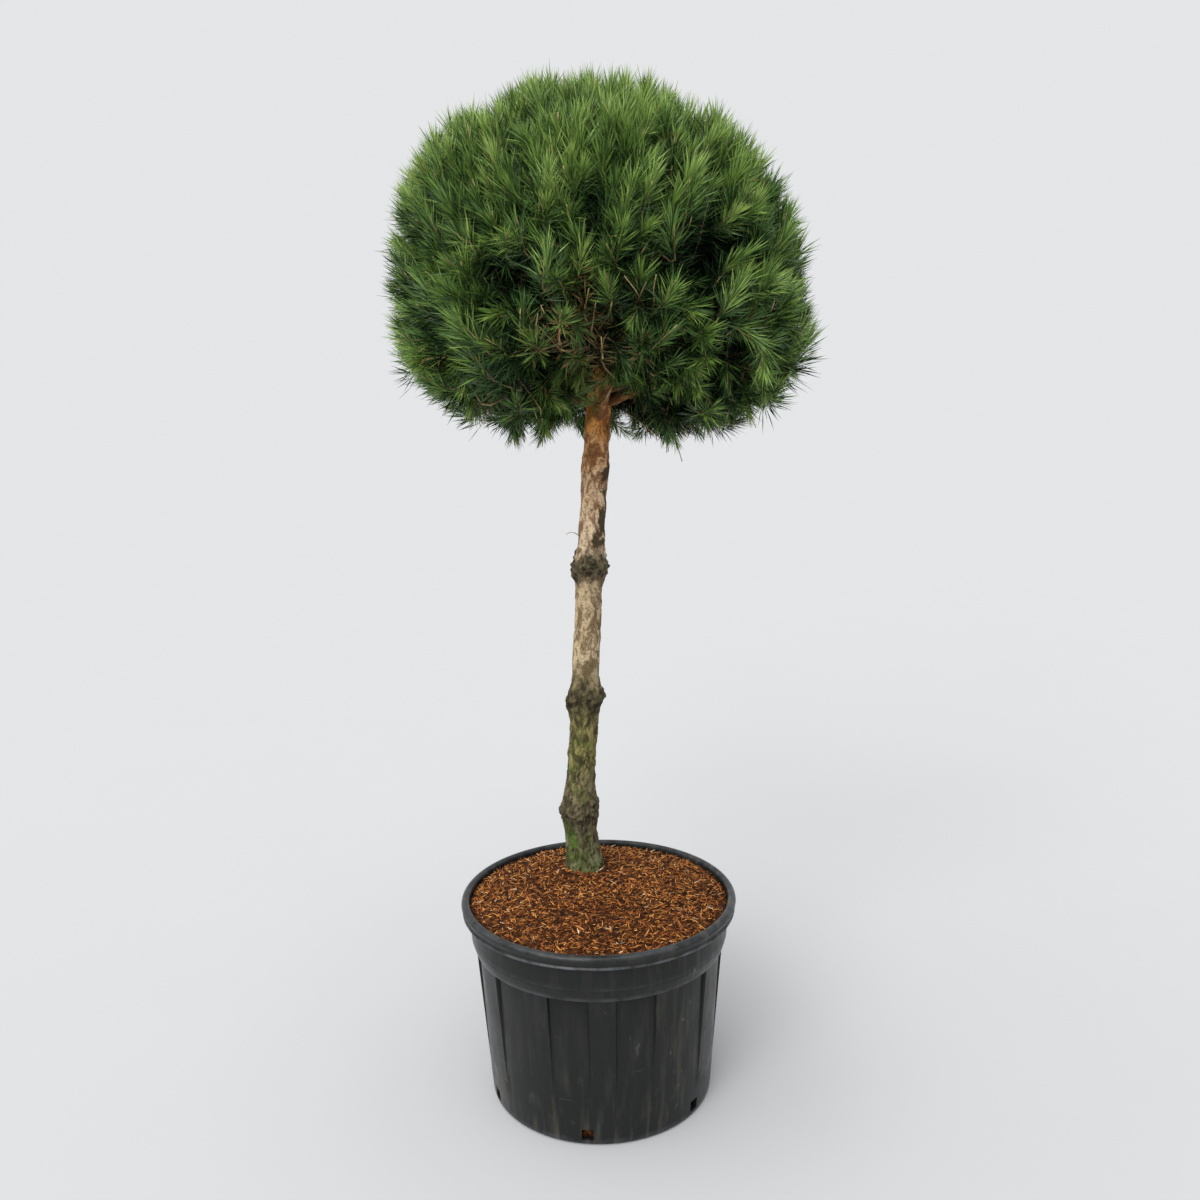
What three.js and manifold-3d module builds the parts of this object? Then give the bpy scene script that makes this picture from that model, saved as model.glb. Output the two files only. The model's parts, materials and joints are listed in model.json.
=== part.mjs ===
// Standard pine: a clipped head of needles on a clear knuckled stem, grown in a round nursery pot.
// Millimetres, +Z up. The origin is the centre of the pot's flat underside, and -Y is the front.
import * as THREE from 'three';
import { mergeVertices } from 'three/addons/utils/BufferGeometryUtils.js';
import Module from 'manifold-3d';

const wasm = await Module();
wasm.setup();

// Clearance kept between pieces that touch.
const GAP = 0.4;
const MERGE_TOLERANCE = 1e-3;
const REACH_TOLERANCE = 0.1;
const CURVE_TOLERANCE = 1e-5;

// Pot: a tapered wall with a rolled lip, a proud collar that slopes back to the wall, sunk panels
// and drain holes. The wall's thickness takes in the depth of the panels.
const POT_HEIGHT = 432;
const LIP_OUTER_RADIUS = 290;
const LIP_INNER_RADIUS = 272;
const LIP_HEIGHT = 28;
const LIP_ROUNDING = 6;
const COLLAR_RADIUS = 271;
const COLLAR_HEIGHT = 78;
const COLLAR_SLOPE_HEIGHT = 28;
const WALL_TOP_RADIUS = 268;
const BASE_RADIUS = 236;
const BASE_ROUNDING = 10;
const WALL = 12;
const FLOOR = 6;
const POT_SIDES = 36;
const PANEL_COUNT = 12;
const PANEL_ANGLE = 18;
const PANEL_DEPTH = 7;
const PANEL_FOOT_HEIGHT = 60;
const PANEL_FIRST_ANGLE = 16;
const DRAIN_COUNT = 6;
const DRAIN_SIZE = 24;
const DRAIN_HEIGHT = 24;
const DRAIN_FIRST_ANGLE = -7;

// Potting mix: fills the pot and rises gently to the foot of the stem.
const MIX_WALL_HEIGHT = 420;
const MIX_CROWN_HEIGHT = 454;
const MIX_SHOULDER_RADIUS = 150;
const MIX_SHOULDER_DROP = 8;
const STEM_SEAT_HEIGHT = 456;
const STEM_SEAT_RADIUS = 62;
const STEM_SEAT_SPREAD = 30;
const STEM_SEAT_DEPTH = 40;

// Stem: its centre at the foot and at each bend, then the old whorls of boughs that swell it.
const STEM_FOOT = { x: -29, y: 80 };
const STEM_FOOT_HEIGHT = STEM_SEAT_HEIGHT + GAP;
const STEM_TIP_HEIGHT = 1850;
const STEM_BENDS = [
  { height: 587, x: -38, y: 74 },
  { height: 770, x: -26, y: 65 },
  { height: 1010, x: -12, y: 54 },
  { height: 1260, x: 4, y: 42 },
  { height: 1500, x: 21, y: 30 },
];
const STEM_FOOT_RADIUS = 34;
const STEM_HEAD_RADIUS = 24.5;
const STEM_HEAD_HEIGHT = 1450;
const STEM_TIP_RADIUS = 9;
const FLARE = 13;
const FLARE_HEIGHT = 45;
const FLARE_LOBES = 5;
const FLARE_LOBE_SHARE = 0.25;
const STEM_SIDES = 12;
const STEM_STEP = 130;
const KNUCKLES = [
  { height: 592, swell: 10.5, spread: 32, lobes: 3, turn: 0.2 },
  { height: 840, swell: 9, spread: 30, lobes: 4, turn: 0.1 },
  { height: 1124, swell: 9.5, spread: 25, lobes: 4, turn: 0 },
  { height: 1326, swell: 2.5, spread: 20, lobes: 2, turn: 0.9 },
];
const KNUCKLE_LOBE_SHARE = 0.44;

// Rings of the stem at its flare, as shares of the flare's height, and at each knuckle, as shares
// of its spread.
const FLARE_RINGS = [0, 0.5, 1.2];
const KNUCKLE_RINGS = [-1.7, -0.8, 0, 0.8, 1.7];

// Head: the clipped outline that the tips of the needles keep to.
const HEAD = new THREE.Vector3(20, 30, 1600);
const HEAD_RADIUS = 413;
const HEAD_RISE = 466;
const HEAD_DROP = 262;
const FRONT_NOTCH_RISE = 150;
const FRONT_NOTCH_ANGLE = 28;
const DOME_SQUARENESS = 2.3;
const HEAD_UNEVENNESS = 0.022;
const HEAD_LEAN_ABOVE = 0.05;
const HEAD_LEAN_BELOW = 0.2;
const HEAD_WAVES = [
  { strength: 0.6, ripples: 3, start: 0.6 },
  { strength: 0.4, ripples: 7, start: 1.3 },
];
const WAVE_SLANT = 0.75;

// Open space inside the head, round the stem, where the boughs run.
const HOLLOW = new THREE.Vector3(20, 30, 1490);
const HOLLOW_RADIUS = 128;
const HOLLOW_HALF_HEIGHT = 285;

// Foliage masses: one on top and two rings of them, each round its own centre.
const MASS_GAP = 14;
const MASS_ROUNDING = 26;
const MASS_DETAIL = 4;
const TOP_MASS_HEIGHT = 1915;
const UPPER_RING = { count: 5, radius: 225, height: 1768, firstAngle: 5, lift: 14 };
const LOWER_RING = { count: 6, radius: 262, height: 1572, firstAngle: 7, lift: 12 };
const FRONT_MASS_LIFT = 34;

// Boughs: one to each mass of the rings, leaving the stem a little below the mass that it feeds.
const UPPER_BOUGH = { start: 1590, step: 17, radius: 11, tip: 6.5 };
const LOWER_BOUGH = { start: 1425, step: 14, radius: 13, tip: 7 };
const BOUGH_BENDS = [
  { along: 0.35, sag: 0.16 },
  { along: 0.7, sag: 0.065 },
];
const BOUGH_SIDES = 7;
const BOUGH_STEPS = 5;

const MATERIALS = {
  pot: { color: 0x2b2f30, roughness: 0.5, metalness: 0 },
  mix: { color: 0x6b3f22, roughness: 1, metalness: 0 },
  bark: { color: 0x8a6a4a, roughness: 0.95, metalness: 0 },
  needles: { color: 0x3d6a2b, roughness: 0.8, metalness: 0 },
};

const topiary = new THREE.Group();

// ---------------------------------------------------------------- solids

function solidOf(geometry) {
  const bare = geometry.clone();
  bare.deleteAttribute('normal');
  bare.deleteAttribute('uv');
  const merged = mergeVertices(bare, MERGE_TOLERANCE);
  return new wasm.Manifold(new wasm.Mesh({
    numProp: 3,
    vertProperties: new Float32Array(merged.attributes.position.array),
    triVerts: new Uint32Array(merged.index.array),
  }));
}

function geometryOf(solid) {
  const mesh = solid.getMesh();
  const geometry = new THREE.BufferGeometry();
  geometry.setAttribute('position', new THREE.BufferAttribute(mesh.vertProperties, 3));
  geometry.setIndex(new THREE.BufferAttribute(mesh.triVerts, 1));
  geometry.computeVertexNormals();
  return geometry;
}

function addPiece(name, solid, material) {
  const piece = new THREE.Mesh(geometryOf(solid), new THREE.MeshStandardMaterial(MATERIALS[material]));
  piece.name = name;
  topiary.add(piece);
}

// Angle measured from the front, -Y, and positive towards +X.
function fromFront(degrees) {
  const angle = THREE.MathUtils.degToRad(degrees);
  return new THREE.Vector3(Math.sin(angle), -Math.cos(angle), 0);
}

function lathe(profile, sides) {
  const points = profile.map(([radius, height]) => new THREE.Vector2(radius, height));
  const geometry = new THREE.LatheGeometry(points, sides);
  geometry.rotateX(Math.PI / 2);
  return geometry;
}

// A round limb: a capped cylinder drawn through a row of rings, each with its own centre, the
// direction that it faces, and a radius that may change with the turn round it.
function limb(rings, sides) {
  const geometry = new THREE.CylinderGeometry(1, 1, 1, sides, rings.length - 1);
  const position = geometry.attributes.position;
  for (let i = 0; i < position.count; i += 1) {
    const { centre, facing, radiusAt } = rings[Math.round((position.getY(i) + 0.5) * (rings.length - 1))];
    const side = new THREE.Vector3(0, 1, 0).cross(facing).normalize();
    const other = new THREE.Vector3().crossVectors(facing, side);
    const turn = Math.atan2(position.getZ(i), position.getX(i));
    const onAxis = Math.hypot(position.getX(i), position.getZ(i)) < 0.5;
    const radius = onAxis ? 0 : radiusAt(turn);
    const place = centre.clone()
      .addScaledVector(side, radius * Math.cos(turn))
      .addScaledVector(other, -radius * Math.sin(turn));
    position.setXYZ(i, place.x, place.y, place.z);
  }
  return solidOf(geometry);
}

// ---------------------------------------------------------------- pot and mix

const lipFoot = POT_HEIGHT - LIP_HEIGHT;
const collarFoot = lipFoot - COLLAR_HEIGHT;

// The tapering wall, as it would run from the base to the lip without its collar.
function wallRadius(height) {
  const share = (height - BASE_ROUNDING) / (lipFoot - BASE_ROUNDING);
  return BASE_RADIUS + (WALL_TOP_RADIUS - BASE_RADIUS) * share;
}

function makePot() {
  const shell = solidOf(lathe([
    [0, 0],
    [BASE_RADIUS - BASE_ROUNDING, 0],
    [BASE_RADIUS, BASE_ROUNDING],
    [wallRadius(collarFoot), collarFoot],
    [COLLAR_RADIUS, collarFoot + COLLAR_SLOPE_HEIGHT],
    [COLLAR_RADIUS, lipFoot],
    [LIP_OUTER_RADIUS - LIP_ROUNDING, lipFoot],
    [LIP_OUTER_RADIUS, POT_HEIGHT - LIP_ROUNDING],
    [LIP_OUTER_RADIUS - LIP_ROUNDING, POT_HEIGHT],
    [LIP_INNER_RADIUS, POT_HEIGHT],
    [LIP_INNER_RADIUS, lipFoot + LIP_ROUNDING],
    [WALL_TOP_RADIUS - WALL, lipFoot - LIP_ROUNDING],
    [wallRadius(FLOOR) - WALL, FLOOR],
    [0, FLOOR],
  ], POT_SIDES));
  let pot = shell;
  for (let i = 0; i < PANEL_COUNT; i += 1) {
    pot = pot.subtract(panelCutter(PANEL_FIRST_ANGLE + (i * 360) / PANEL_COUNT));
  }
  for (let i = 0; i < DRAIN_COUNT; i += 1) {
    pot = pot.subtract(drainCutter(DRAIN_FIRST_ANGLE + (i * 360) / DRAIN_COUNT));
  }
  return pot;
}

// A wedge that sinks one panel: full depth under the collar, nothing at the panel's foot.
function panelCutter(degrees) {
  const foot = wallRadius(PANEL_FOOT_HEIGHT);
  const top = wallRadius(collarFoot);
  const section = new THREE.Shape();
  section.moveTo(foot, 0);
  section.lineTo(foot + WALL, 0);
  section.lineTo(top + WALL, collarFoot - PANEL_FOOT_HEIGHT);
  section.lineTo(top - PANEL_DEPTH, collarFoot - PANEL_FOOT_HEIGHT);
  section.closePath();
  const width = 2 * top * Math.sin(THREE.MathUtils.degToRad(PANEL_ANGLE / 2));
  const geometry = new THREE.ExtrudeGeometry(section, { depth: width, bevelEnabled: false });
  geometry.translate(0, 0, -width / 2);
  geometry.rotateX(Math.PI / 2);
  geometry.rotateZ(THREE.MathUtils.degToRad(degrees - 90));
  geometry.translate(0, 0, PANEL_FOOT_HEIGHT);
  return solidOf(geometry);
}

function drainCutter(degrees) {
  const outwards = fromFront(degrees).multiplyScalar(wallRadius(DRAIN_HEIGHT));
  const geometry = new THREE.BoxGeometry(DRAIN_SIZE, 3 * WALL, DRAIN_SIZE);
  geometry.rotateZ(THREE.MathUtils.degToRad(degrees));
  geometry.translate(outwards.x, outwards.y, DRAIN_HEIGHT);
  return solidOf(geometry);
}

function makeMix() {
  const flat = Math.cos(Math.PI / POT_SIDES);
  return solidOf(lathe([
    [0, FLOOR + GAP],
    [(wallRadius(FLOOR) - WALL) * flat - GAP, FLOOR + GAP],
    [(WALL_TOP_RADIUS - WALL) * flat - GAP, lipFoot - LIP_ROUNDING],
    [LIP_INNER_RADIUS * flat - GAP, lipFoot + LIP_ROUNDING + GAP],
    [LIP_INNER_RADIUS * flat - GAP, MIX_WALL_HEIGHT],
    [MIX_SHOULDER_RADIUS, MIX_CROWN_HEIGHT - MIX_SHOULDER_DROP],
    [0, MIX_CROWN_HEIGHT],
  ], POT_SIDES)).add(solidOf(stemSeat()));
}

// The level disc of mix on which the cut foot of the stem stands.
function stemSeat() {
  const foot = STEM_SEAT_RADIUS + STEM_SEAT_SPREAD;
  const geometry = new THREE.CylinderGeometry(STEM_SEAT_RADIUS, foot, STEM_SEAT_DEPTH, STEM_SIDES);
  geometry.rotateX(Math.PI / 2);
  geometry.translate(STEM_FOOT.x, STEM_FOOT.y, STEM_SEAT_HEIGHT - STEM_SEAT_DEPTH / 2);
  return geometry;
}

// ---------------------------------------------------------------- stem

const stemCurve = new THREE.CatmullRomCurve3([
  new THREE.Vector3(STEM_FOOT.x, STEM_FOOT.y, STEM_FOOT_HEIGHT),
  ...STEM_BENDS.map((bend) => new THREE.Vector3(bend.x, bend.y, bend.height)),
  new THREE.Vector3(HEAD.x, HEAD.y, STEM_TIP_HEIGHT),
]);

function stemRadius(height, turn) {
  const lower = THREE.MathUtils.inverseLerp(STEM_FOOT_HEIGHT, STEM_HEAD_HEIGHT, height);
  const upper = THREE.MathUtils.inverseLerp(STEM_HEAD_HEIGHT, STEM_TIP_HEIGHT, height);
  let radius = THREE.MathUtils.lerp(STEM_FOOT_RADIUS, STEM_HEAD_RADIUS, Math.sqrt(Math.min(lower, 1)));
  radius -= (STEM_HEAD_RADIUS - STEM_TIP_RADIUS) * Math.max(upper, 0);
  radius += FLARE * Math.exp(-(height - STEM_FOOT_HEIGHT) / FLARE_HEIGHT)
    * (1 + FLARE_LOBE_SHARE * Math.cos(FLARE_LOBES * turn));
  for (const { height: centre, swell, spread, lobes, turn: start } of KNUCKLES) {
    radius += swell * Math.exp(-(((height - centre) / spread) ** 2))
      * (1 + KNUCKLE_LOBE_SHARE * Math.cos(lobes * (turn - start)));
  }
  return radius;
}

// The point of the stem's centre line at a given height.
function stemPoint(height) {
  let low = 0;
  let high = 1;
  while (high - low > CURVE_TOLERANCE) {
    const middle = (low + high) / 2;
    if (stemCurve.getPoint(middle).z < height) {
      low = middle;
    } else {
      high = middle;
    }
  }
  return stemCurve.getPoint(low);
}

// Heights of the stem's rings: close together at the flare and the knuckles, wide apart between.
function stemHeights() {
  const heights = FLARE_RINGS.map((share) => STEM_FOOT_HEIGHT + share * FLARE_HEIGHT);
  for (const { height, spread } of KNUCKLES) {
    heights.push(...KNUCKLE_RINGS.map((share) => height + share * spread));
  }
  heights.push(STEM_TIP_HEIGHT);
  heights.sort((one, two) => one - two);
  return heights.flatMap((height, i) => {
    const next = heights[i + 1] ?? height;
    const count = Math.max(1, Math.round((next - height) / STEM_STEP));
    return Array.from({ length: count }, (_, k) => height + ((next - height) * k) / count);
  });
}

// Every ring is level, so the foot is a flat cut.
function makeStem(grow) {
  const rings = stemHeights().map((height) => ({
    centre: stemPoint(height),
    facing: new THREE.Vector3(0, 0, 1),
    radiusAt: (turn) => stemRadius(height, turn) + grow,
  }));
  return limb(rings, STEM_SIDES);
}

// ---------------------------------------------------------------- foliage masses

// Waves over the head, so that no two masses have the same skin.
function unevenness({ x, y, z }) {
  return HEAD_WAVES.reduce((sum, { strength, ripples, start }) => sum + strength
    * Math.sin(ripples * (x + WAVE_SLANT * z) + start) * Math.cos(ripples * (y - WAVE_SLANT * z)), 0);
}

function headDrop(offset) {
  const angle = THREE.MathUtils.radToDeg(Math.atan2(offset.x, -offset.y));
  return HEAD_DROP - FRONT_NOTCH_RISE * Math.exp(-((angle / FRONT_NOTCH_ANGLE) ** 2));
}

// Below 1 inside the clipped outline of the head and above 1 outside it.
function headLevel(point) {
  const offset = point.clone().sub(HEAD);
  const swell = 1 + HEAD_UNEVENNESS * unevenness(offset.clone().normalize());
  offset.x += offset.z * (offset.z > 0 ? HEAD_LEAN_ABOVE : HEAD_LEAN_BELOW);
  const out = Math.hypot(offset.x, offset.y) / (HEAD_RADIUS * swell);
  if (offset.z > 0) {
    return out ** DOME_SQUARENESS + (offset.z / (HEAD_RISE * swell)) ** DOME_SQUARENESS;
  }
  return out ** 2 + (offset.z / headDrop(offset)) ** 2;
}

function reachToHead(centre, direction) {
  let inside = 0;
  let outside = 2 * HEAD_RISE;
  while (outside - inside > REACH_TOLERANCE) {
    const middle = (inside + outside) / 2;
    if (headLevel(centre.clone().addScaledVector(direction, middle)) < 1) {
      inside = middle;
    } else {
      outside = middle;
    }
  }
  return inside;
}

// Distance along a ray to the open space round the stem, or Infinity where the ray misses it.
function reachToHollow(centre, direction) {
  const scale = new THREE.Vector3(1 / HOLLOW_RADIUS, 1 / HOLLOW_RADIUS, 1 / HOLLOW_HALF_HEIGHT);
  const from = centre.clone().sub(HOLLOW).multiply(scale);
  const step = direction.clone().multiply(scale);
  const half = from.dot(step);
  const root = half * half - step.lengthSq() * (from.lengthSq() - 1);
  return root > 0 && half < 0 ? (-half - Math.sqrt(root)) / step.lengthSq() : Infinity;
}

// Distance along a ray to the plane half way to a neighbouring mass, less half the gap between them.
function reachToNeighbour(centre, direction, neighbour) {
  const between = neighbour.clone().sub(centre);
  const away = direction.dot(between.clone().normalize());
  return away > 0 ? (between.length() / 2 - MASS_GAP / 2) / away : Infinity;
}

function ring(prefix, { count, radius, height, firstAngle, lift }) {
  return Array.from({ length: count }, (_, i) => {
    const centre = fromFront(firstAngle + (i * 360) / count).multiplyScalar(radius);
    centre.add(new THREE.Vector3(HEAD.x, HEAD.y, height + (i % 2 ? lift : -lift)));
    return { name: `${prefix}_${i + 1}`, centre };
  });
}

const upperMasses = ring('foliage_upper', UPPER_RING);
const lowerMasses = ring('foliage_lower', LOWER_RING);
lowerMasses[0].centre.z += FRONT_MASS_LIFT;
const topMass = { name: 'foliage_top', centre: new THREE.Vector3(HEAD.x, HEAD.y, TOP_MASS_HEIGHT) };
const masses = [topMass, ...upperMasses, ...lowerMasses];

// The smallest of several distances, eased so that a mass is rounded where its bounds meet.
function easedLeast(distances) {
  const sum = distances.reduce((total, distance) => total + Math.exp(-distance / MASS_ROUNDING), 0);
  return -MASS_ROUNDING * Math.log(sum);
}

function makeMass(mass, grow) {
  const geometry = new THREE.IcosahedronGeometry(1, MASS_DETAIL);
  const position = geometry.attributes.position;
  for (let i = 0; i < position.count; i += 1) {
    const direction = new THREE.Vector3().fromBufferAttribute(position, i).normalize();
    const neighbours = masses.filter((other) => other !== mass);
    const reach = easedLeast([
      reachToHead(mass.centre, direction),
      reachToHollow(mass.centre, direction),
      ...neighbours.map((other) => reachToNeighbour(mass.centre, direction, other.centre)),
    ]);
    const place = mass.centre.clone().addScaledVector(direction, reach + grow);
    position.setXYZ(i, place.x, place.y, place.z);
  }
  return solidOf(geometry);
}

// ---------------------------------------------------------------- boughs

// A bough sags below the straight line from the stem to its mass.
function boughCurve(start, end) {
  const bends = BOUGH_BENDS.map(({ along, sag }) => start.clone().lerp(end, along)
    .sub(new THREE.Vector3(0, 0, sag * (end.z - start.z))));
  return new THREE.CatmullRomCurve3([start, ...bends, end]);
}

// One tapering limb, from the bark of the stem to where it enters the first mass it meets.
function makeBough(start, end, size, obstacles) {
  const curve = boughCurve(start, end);
  const rings = Array.from({ length: BOUGH_STEPS + 1 }, (_, i) => ({
    centre: curve.getPoint(i / BOUGH_STEPS),
    facing: curve.getTangent(i / BOUGH_STEPS),
    radiusAt: () => THREE.MathUtils.lerp(size.radius, size.tip, i / BOUGH_STEPS),
  }));
  const whole = limb(rings, BOUGH_SIDES);
  const pieces = obstacles.reduce((solid, obstacle) => solid.subtract(obstacle), whole).decompose();
  const fromStem = (solid) => {
    const { min, max } = solid.boundingBox();
    return new THREE.Vector3().addVectors(new THREE.Vector3(...min), new THREE.Vector3(...max))
      .multiplyScalar(0.5).distanceTo(start);
  };
  return pieces.sort((one, two) => fromStem(one) - fromStem(two))[0];
}

// ---------------------------------------------------------------- assembly

addPiece('pot', makePot(), 'pot');
addPiece('potting_mix', makeMix(), 'mix');
addPiece('stem', makeStem(0), 'bark');

const grownStem = makeStem(GAP);
const grownMasses = masses.map((mass) => makeMass(mass, 2 * GAP));
const obstacles = [grownStem, ...grownMasses];
for (const mass of masses) {
  const solid = makeMass(mass, 0);
  addPiece(mass.name, mass === topMass ? solid.subtract(grownStem) : solid, 'needles');
}

for (const [label, ringMasses, size] of [
  ['bough_upper', upperMasses, UPPER_BOUGH],
  ['bough_lower', lowerMasses, LOWER_BOUGH],
]) {
  ringMasses.forEach((mass, i) => {
    // Neighbouring boughs leave the stem at different heights.
    const start = stemPoint(size.start + ((i * 2) % ringMasses.length) * size.step);
    addPiece(`${label}_${i + 1}`, makeBough(start, mass.centre, size, obstacles), 'bark');
  });
}

export default topiary;
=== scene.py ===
import json
import math

import bpy
import numpy as np
from mathutils import Euler, Matrix, Vector, noise
from mathutils.bvhtree import BVHTree
from mathutils.kdtree import KDTree

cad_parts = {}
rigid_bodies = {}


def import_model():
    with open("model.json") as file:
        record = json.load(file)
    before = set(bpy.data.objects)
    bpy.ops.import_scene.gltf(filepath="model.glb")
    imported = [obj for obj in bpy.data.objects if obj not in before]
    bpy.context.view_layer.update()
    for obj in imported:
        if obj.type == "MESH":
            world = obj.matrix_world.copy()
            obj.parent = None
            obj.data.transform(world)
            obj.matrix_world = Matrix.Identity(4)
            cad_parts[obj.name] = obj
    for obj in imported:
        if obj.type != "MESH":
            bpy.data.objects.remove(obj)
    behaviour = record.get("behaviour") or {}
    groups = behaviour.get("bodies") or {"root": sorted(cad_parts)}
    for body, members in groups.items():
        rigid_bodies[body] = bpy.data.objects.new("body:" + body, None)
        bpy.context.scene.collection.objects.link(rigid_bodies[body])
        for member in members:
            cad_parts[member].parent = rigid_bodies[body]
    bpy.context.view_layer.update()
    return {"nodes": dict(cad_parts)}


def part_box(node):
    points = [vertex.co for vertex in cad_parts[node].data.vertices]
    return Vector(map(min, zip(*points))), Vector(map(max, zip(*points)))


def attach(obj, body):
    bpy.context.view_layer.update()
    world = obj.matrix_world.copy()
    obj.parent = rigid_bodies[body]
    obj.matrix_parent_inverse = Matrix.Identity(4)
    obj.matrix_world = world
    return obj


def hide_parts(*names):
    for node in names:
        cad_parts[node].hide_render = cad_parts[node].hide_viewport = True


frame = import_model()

bl_info = {
    "name": "Standard Pine in a Pot",
    "version": (1, 0, 0),
    "blender": (4, 5, 0),
    "location": "3D View > Sidebar > Topiary",
    "description": "Dresses the packed standard pine: pot, mulch, bark, boughs, twigs and needles",
    "category": "Object",
}

POT_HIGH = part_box("pot")[1]
STEM_LOW, STEM_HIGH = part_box("stem")
MIX_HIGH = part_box("potting_mix")[1]
FOLIAGE = sorted(name for name in frame["nodes"] if name.startswith("foliage"))
BOUGHS = sorted(name for name in frame["nodes"] if name.startswith("bough"))

GOLDEN_ANGLE = math.pi * (3 - math.sqrt(5))


# ---------------------------------------------------------------- settings

def number_setting(name, description, default, **limits):
    return bpy.props.FloatProperty(name=name, description=description, default=default, **limits)


def length_setting(name, description, default, **limits):
    return number_setting(name, description, default, unit="LENGTH", **limits)


def factor_setting(name, description, default, **limits):
    return number_setting(name, description, default, subtype="FACTOR", **limits)


def angle_setting(name, description, degrees):
    return number_setting(name, description, math.radians(degrees), subtype="ANGLE")


def count_setting(name, description, default, **limits):
    return bpy.props.IntProperty(name=name, description=description, default=default, **limits)


def colour_setting(name, description, default):
    return bpy.props.FloatVectorProperty(
        name=name, description=description, default=default, subtype="COLOR", min=0, max=1)


class PotSettings(bpy.types.PropertyGroup):
    lip_height: length_setting("Lip height", "Height of the rolled lip", 0.028, min=0.01, max=0.06)
    lip_width: length_setting("Lip width", "Width of the lip seen from above", 0.018, min=0.005, max=0.04)
    collar_height: length_setting(
        "Collar height", "Height of the plain band under the lip", 0.078, min=0.0, max=0.15)
    collar_radius: length_setting(
        "Collar radius", "Radius of the proud band under the lip", 0.271, min=0.1, max=0.4)
    collar_slope: length_setting(
        "Collar slope", "Height over which the band falls back to the wall", 0.028, min=0.002, max=0.06)
    wall_top_radius: length_setting(
        "Wall top radius", "Radius that the tapering wall would have at the lip", 0.268, min=0.1, max=0.4)
    base_radius: length_setting("Base radius", "Radius of the wall at the foot", 0.236, min=0.1, max=0.4)
    wall: length_setting("Wall", "Thickness of the wall with its relief", 0.012, min=0.004, max=0.02)
    panel_count: count_setting("Panels", "Number of sunk panels round the pot", 12, min=0, max=36)
    panel_share: factor_setting(
        "Panel share", "Share of the wall that is panel and not rib", 0.6, min=0.2, max=0.9)
    panel_depth: length_setting("Panel depth", "Depth of a panel at its top edge", 0.006, min=0.0, max=0.01)
    panel_turn: angle_setting("Panel turn", "Angle from the front to the middle of the first panel", 16)
    drain_count: count_setting("Drain holes", "Number of square holes at the foot", 6, min=0, max=12)
    drain_size: length_setting("Drain size", "Side of a drain hole", 0.024)
    drain_turn: angle_setting("Drain turn", "Angle from the front to the first drain hole", -7)
    plastic: colour_setting("Plastic", "Colour of the clean plastic", (0.0074, 0.0082, 0.0080))
    dust: colour_setting("Dust", "Colour of the dust and dried splashes", (0.085, 0.080, 0.060))


class MulchSettings(bpy.types.PropertyGroup):
    chip_density: number_setting(
        "Chip density", "Bark chips and fibres to the square metre, of each colour", 8500, min=0, max=40000)
    chip_length: length_setting("Chip length", "Length of the longest chips", 0.025)
    chip_width: length_setting("Chip width", "Width of the widest chips", 0.0054)
    lumps: length_setting("Lumps", "Height of the lumps in the bed", 0.007)
    seed: count_setting("Seed", "Seed of the scatter", 4)


class StemSettings(bpy.types.PropertyGroup):
    columns: count_setting("Columns", "Divisions round the stem", 108, min=24, max=200)
    row_height: length_setting("Row height", "Height of a row of the clear stem", 0.0023)
    fissure_depth: length_setting("Fissure depth", "Depth of the fissures near the foot", 0.0028)
    flake_depth: length_setting("Flake depth", "Thickness of one layer of flaking bark", 0.0011)
    knuckle_relief: length_setting("Knuckle relief", "Height of the lumps on the old whorls", 0.008)
    scars: count_setting("Scars", "Healed bough scars on each whorl", 5, min=0, max=10)
    dead_twig: length_setting("Dead twig", "Length of the thin dead twig above the top whorl", 0.030)
    seed: count_setting("Seed", "Seed of the bark", 11)


class HeadSettings(bpy.types.PropertyGroup):
    spacing: length_setting(
        "Spacing", "Distance between the tips of neighbouring shoots", 0.0262, min=0.01, max=0.1)
    inner_spacing: length_setting(
        "Inner spacing", "The same for the shaded shoots inside", 0.050, min=0.01, max=0.1)
    inner_depth: length_setting("Inner depth", "How far inside the shaded shoots end", 0.065)
    seam_depth: length_setting("Seam depth", "How far the head dips where two masses meet", 0.010)
    overhang: length_setting(
        "Overhang", "How far the longest needles reach beyond the packed masses", 0.010, min=0, max=0.02)
    dip_depth: length_setting("Dip depth", "How far the shoots between the tufts stand back", 0.034)
    holes: factor_setting("Holes", "Share of the head left open in small patches", 0.18, min=0, max=0.6)
    cleft_width: angle_setting("Cleft width", "Width of the gap between the front and the right flank", 10)
    shoot_length: length_setting("Shoot length", "Length of the needled part of a shoot", 0.080)
    needle_length: length_setting("Needle length", "Length of a needle", 0.057)
    needle_width: length_setting("Needle width", "Width of a needle", 0.0020)
    young_pairs: count_setting("Young pairs", "Pairs of needles in each of a shoot's two young sprays", 28)
    old_pairs: count_setting("Old pairs", "Pairs of last year's needles on a shoot", 30)
    variants: count_setting("Variants", "Different shoots to choose from", 8, min=1, max=20)
    bare_twigs: count_setting("Bare twigs", "Twigs without needles in each mass", 14, min=0, max=60)
    seed: count_setting("Seed", "Seed of the growth", 23)


class StageSettings(bpy.types.PropertyGroup):
    lens: number_setting("Lens", "Focal length on a 36 mm sensor", 34.2, unit="CAMERA")
    distance: length_setting("Distance", "Camera's distance from the middle of the pot", 2.269)
    height: length_setting("Height", "Camera's height above the floor", 1.482)
    pitch: angle_setting("Pitch", "How far the camera looks down", 10.5)
    roll: angle_setting("Roll", "How far the camera leans", -1.0)
    surround: number_setting("Surround", "Strength of the even light from all round", 0.80, min=0)
    overhead: number_setting("Overhead", "Strength of the wide light above", 1.9, min=0)
    key: number_setting("Key", "Strength of the light from the front left", 1.6, min=0)


# ---------------------------------------------------------------- meshes

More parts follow.
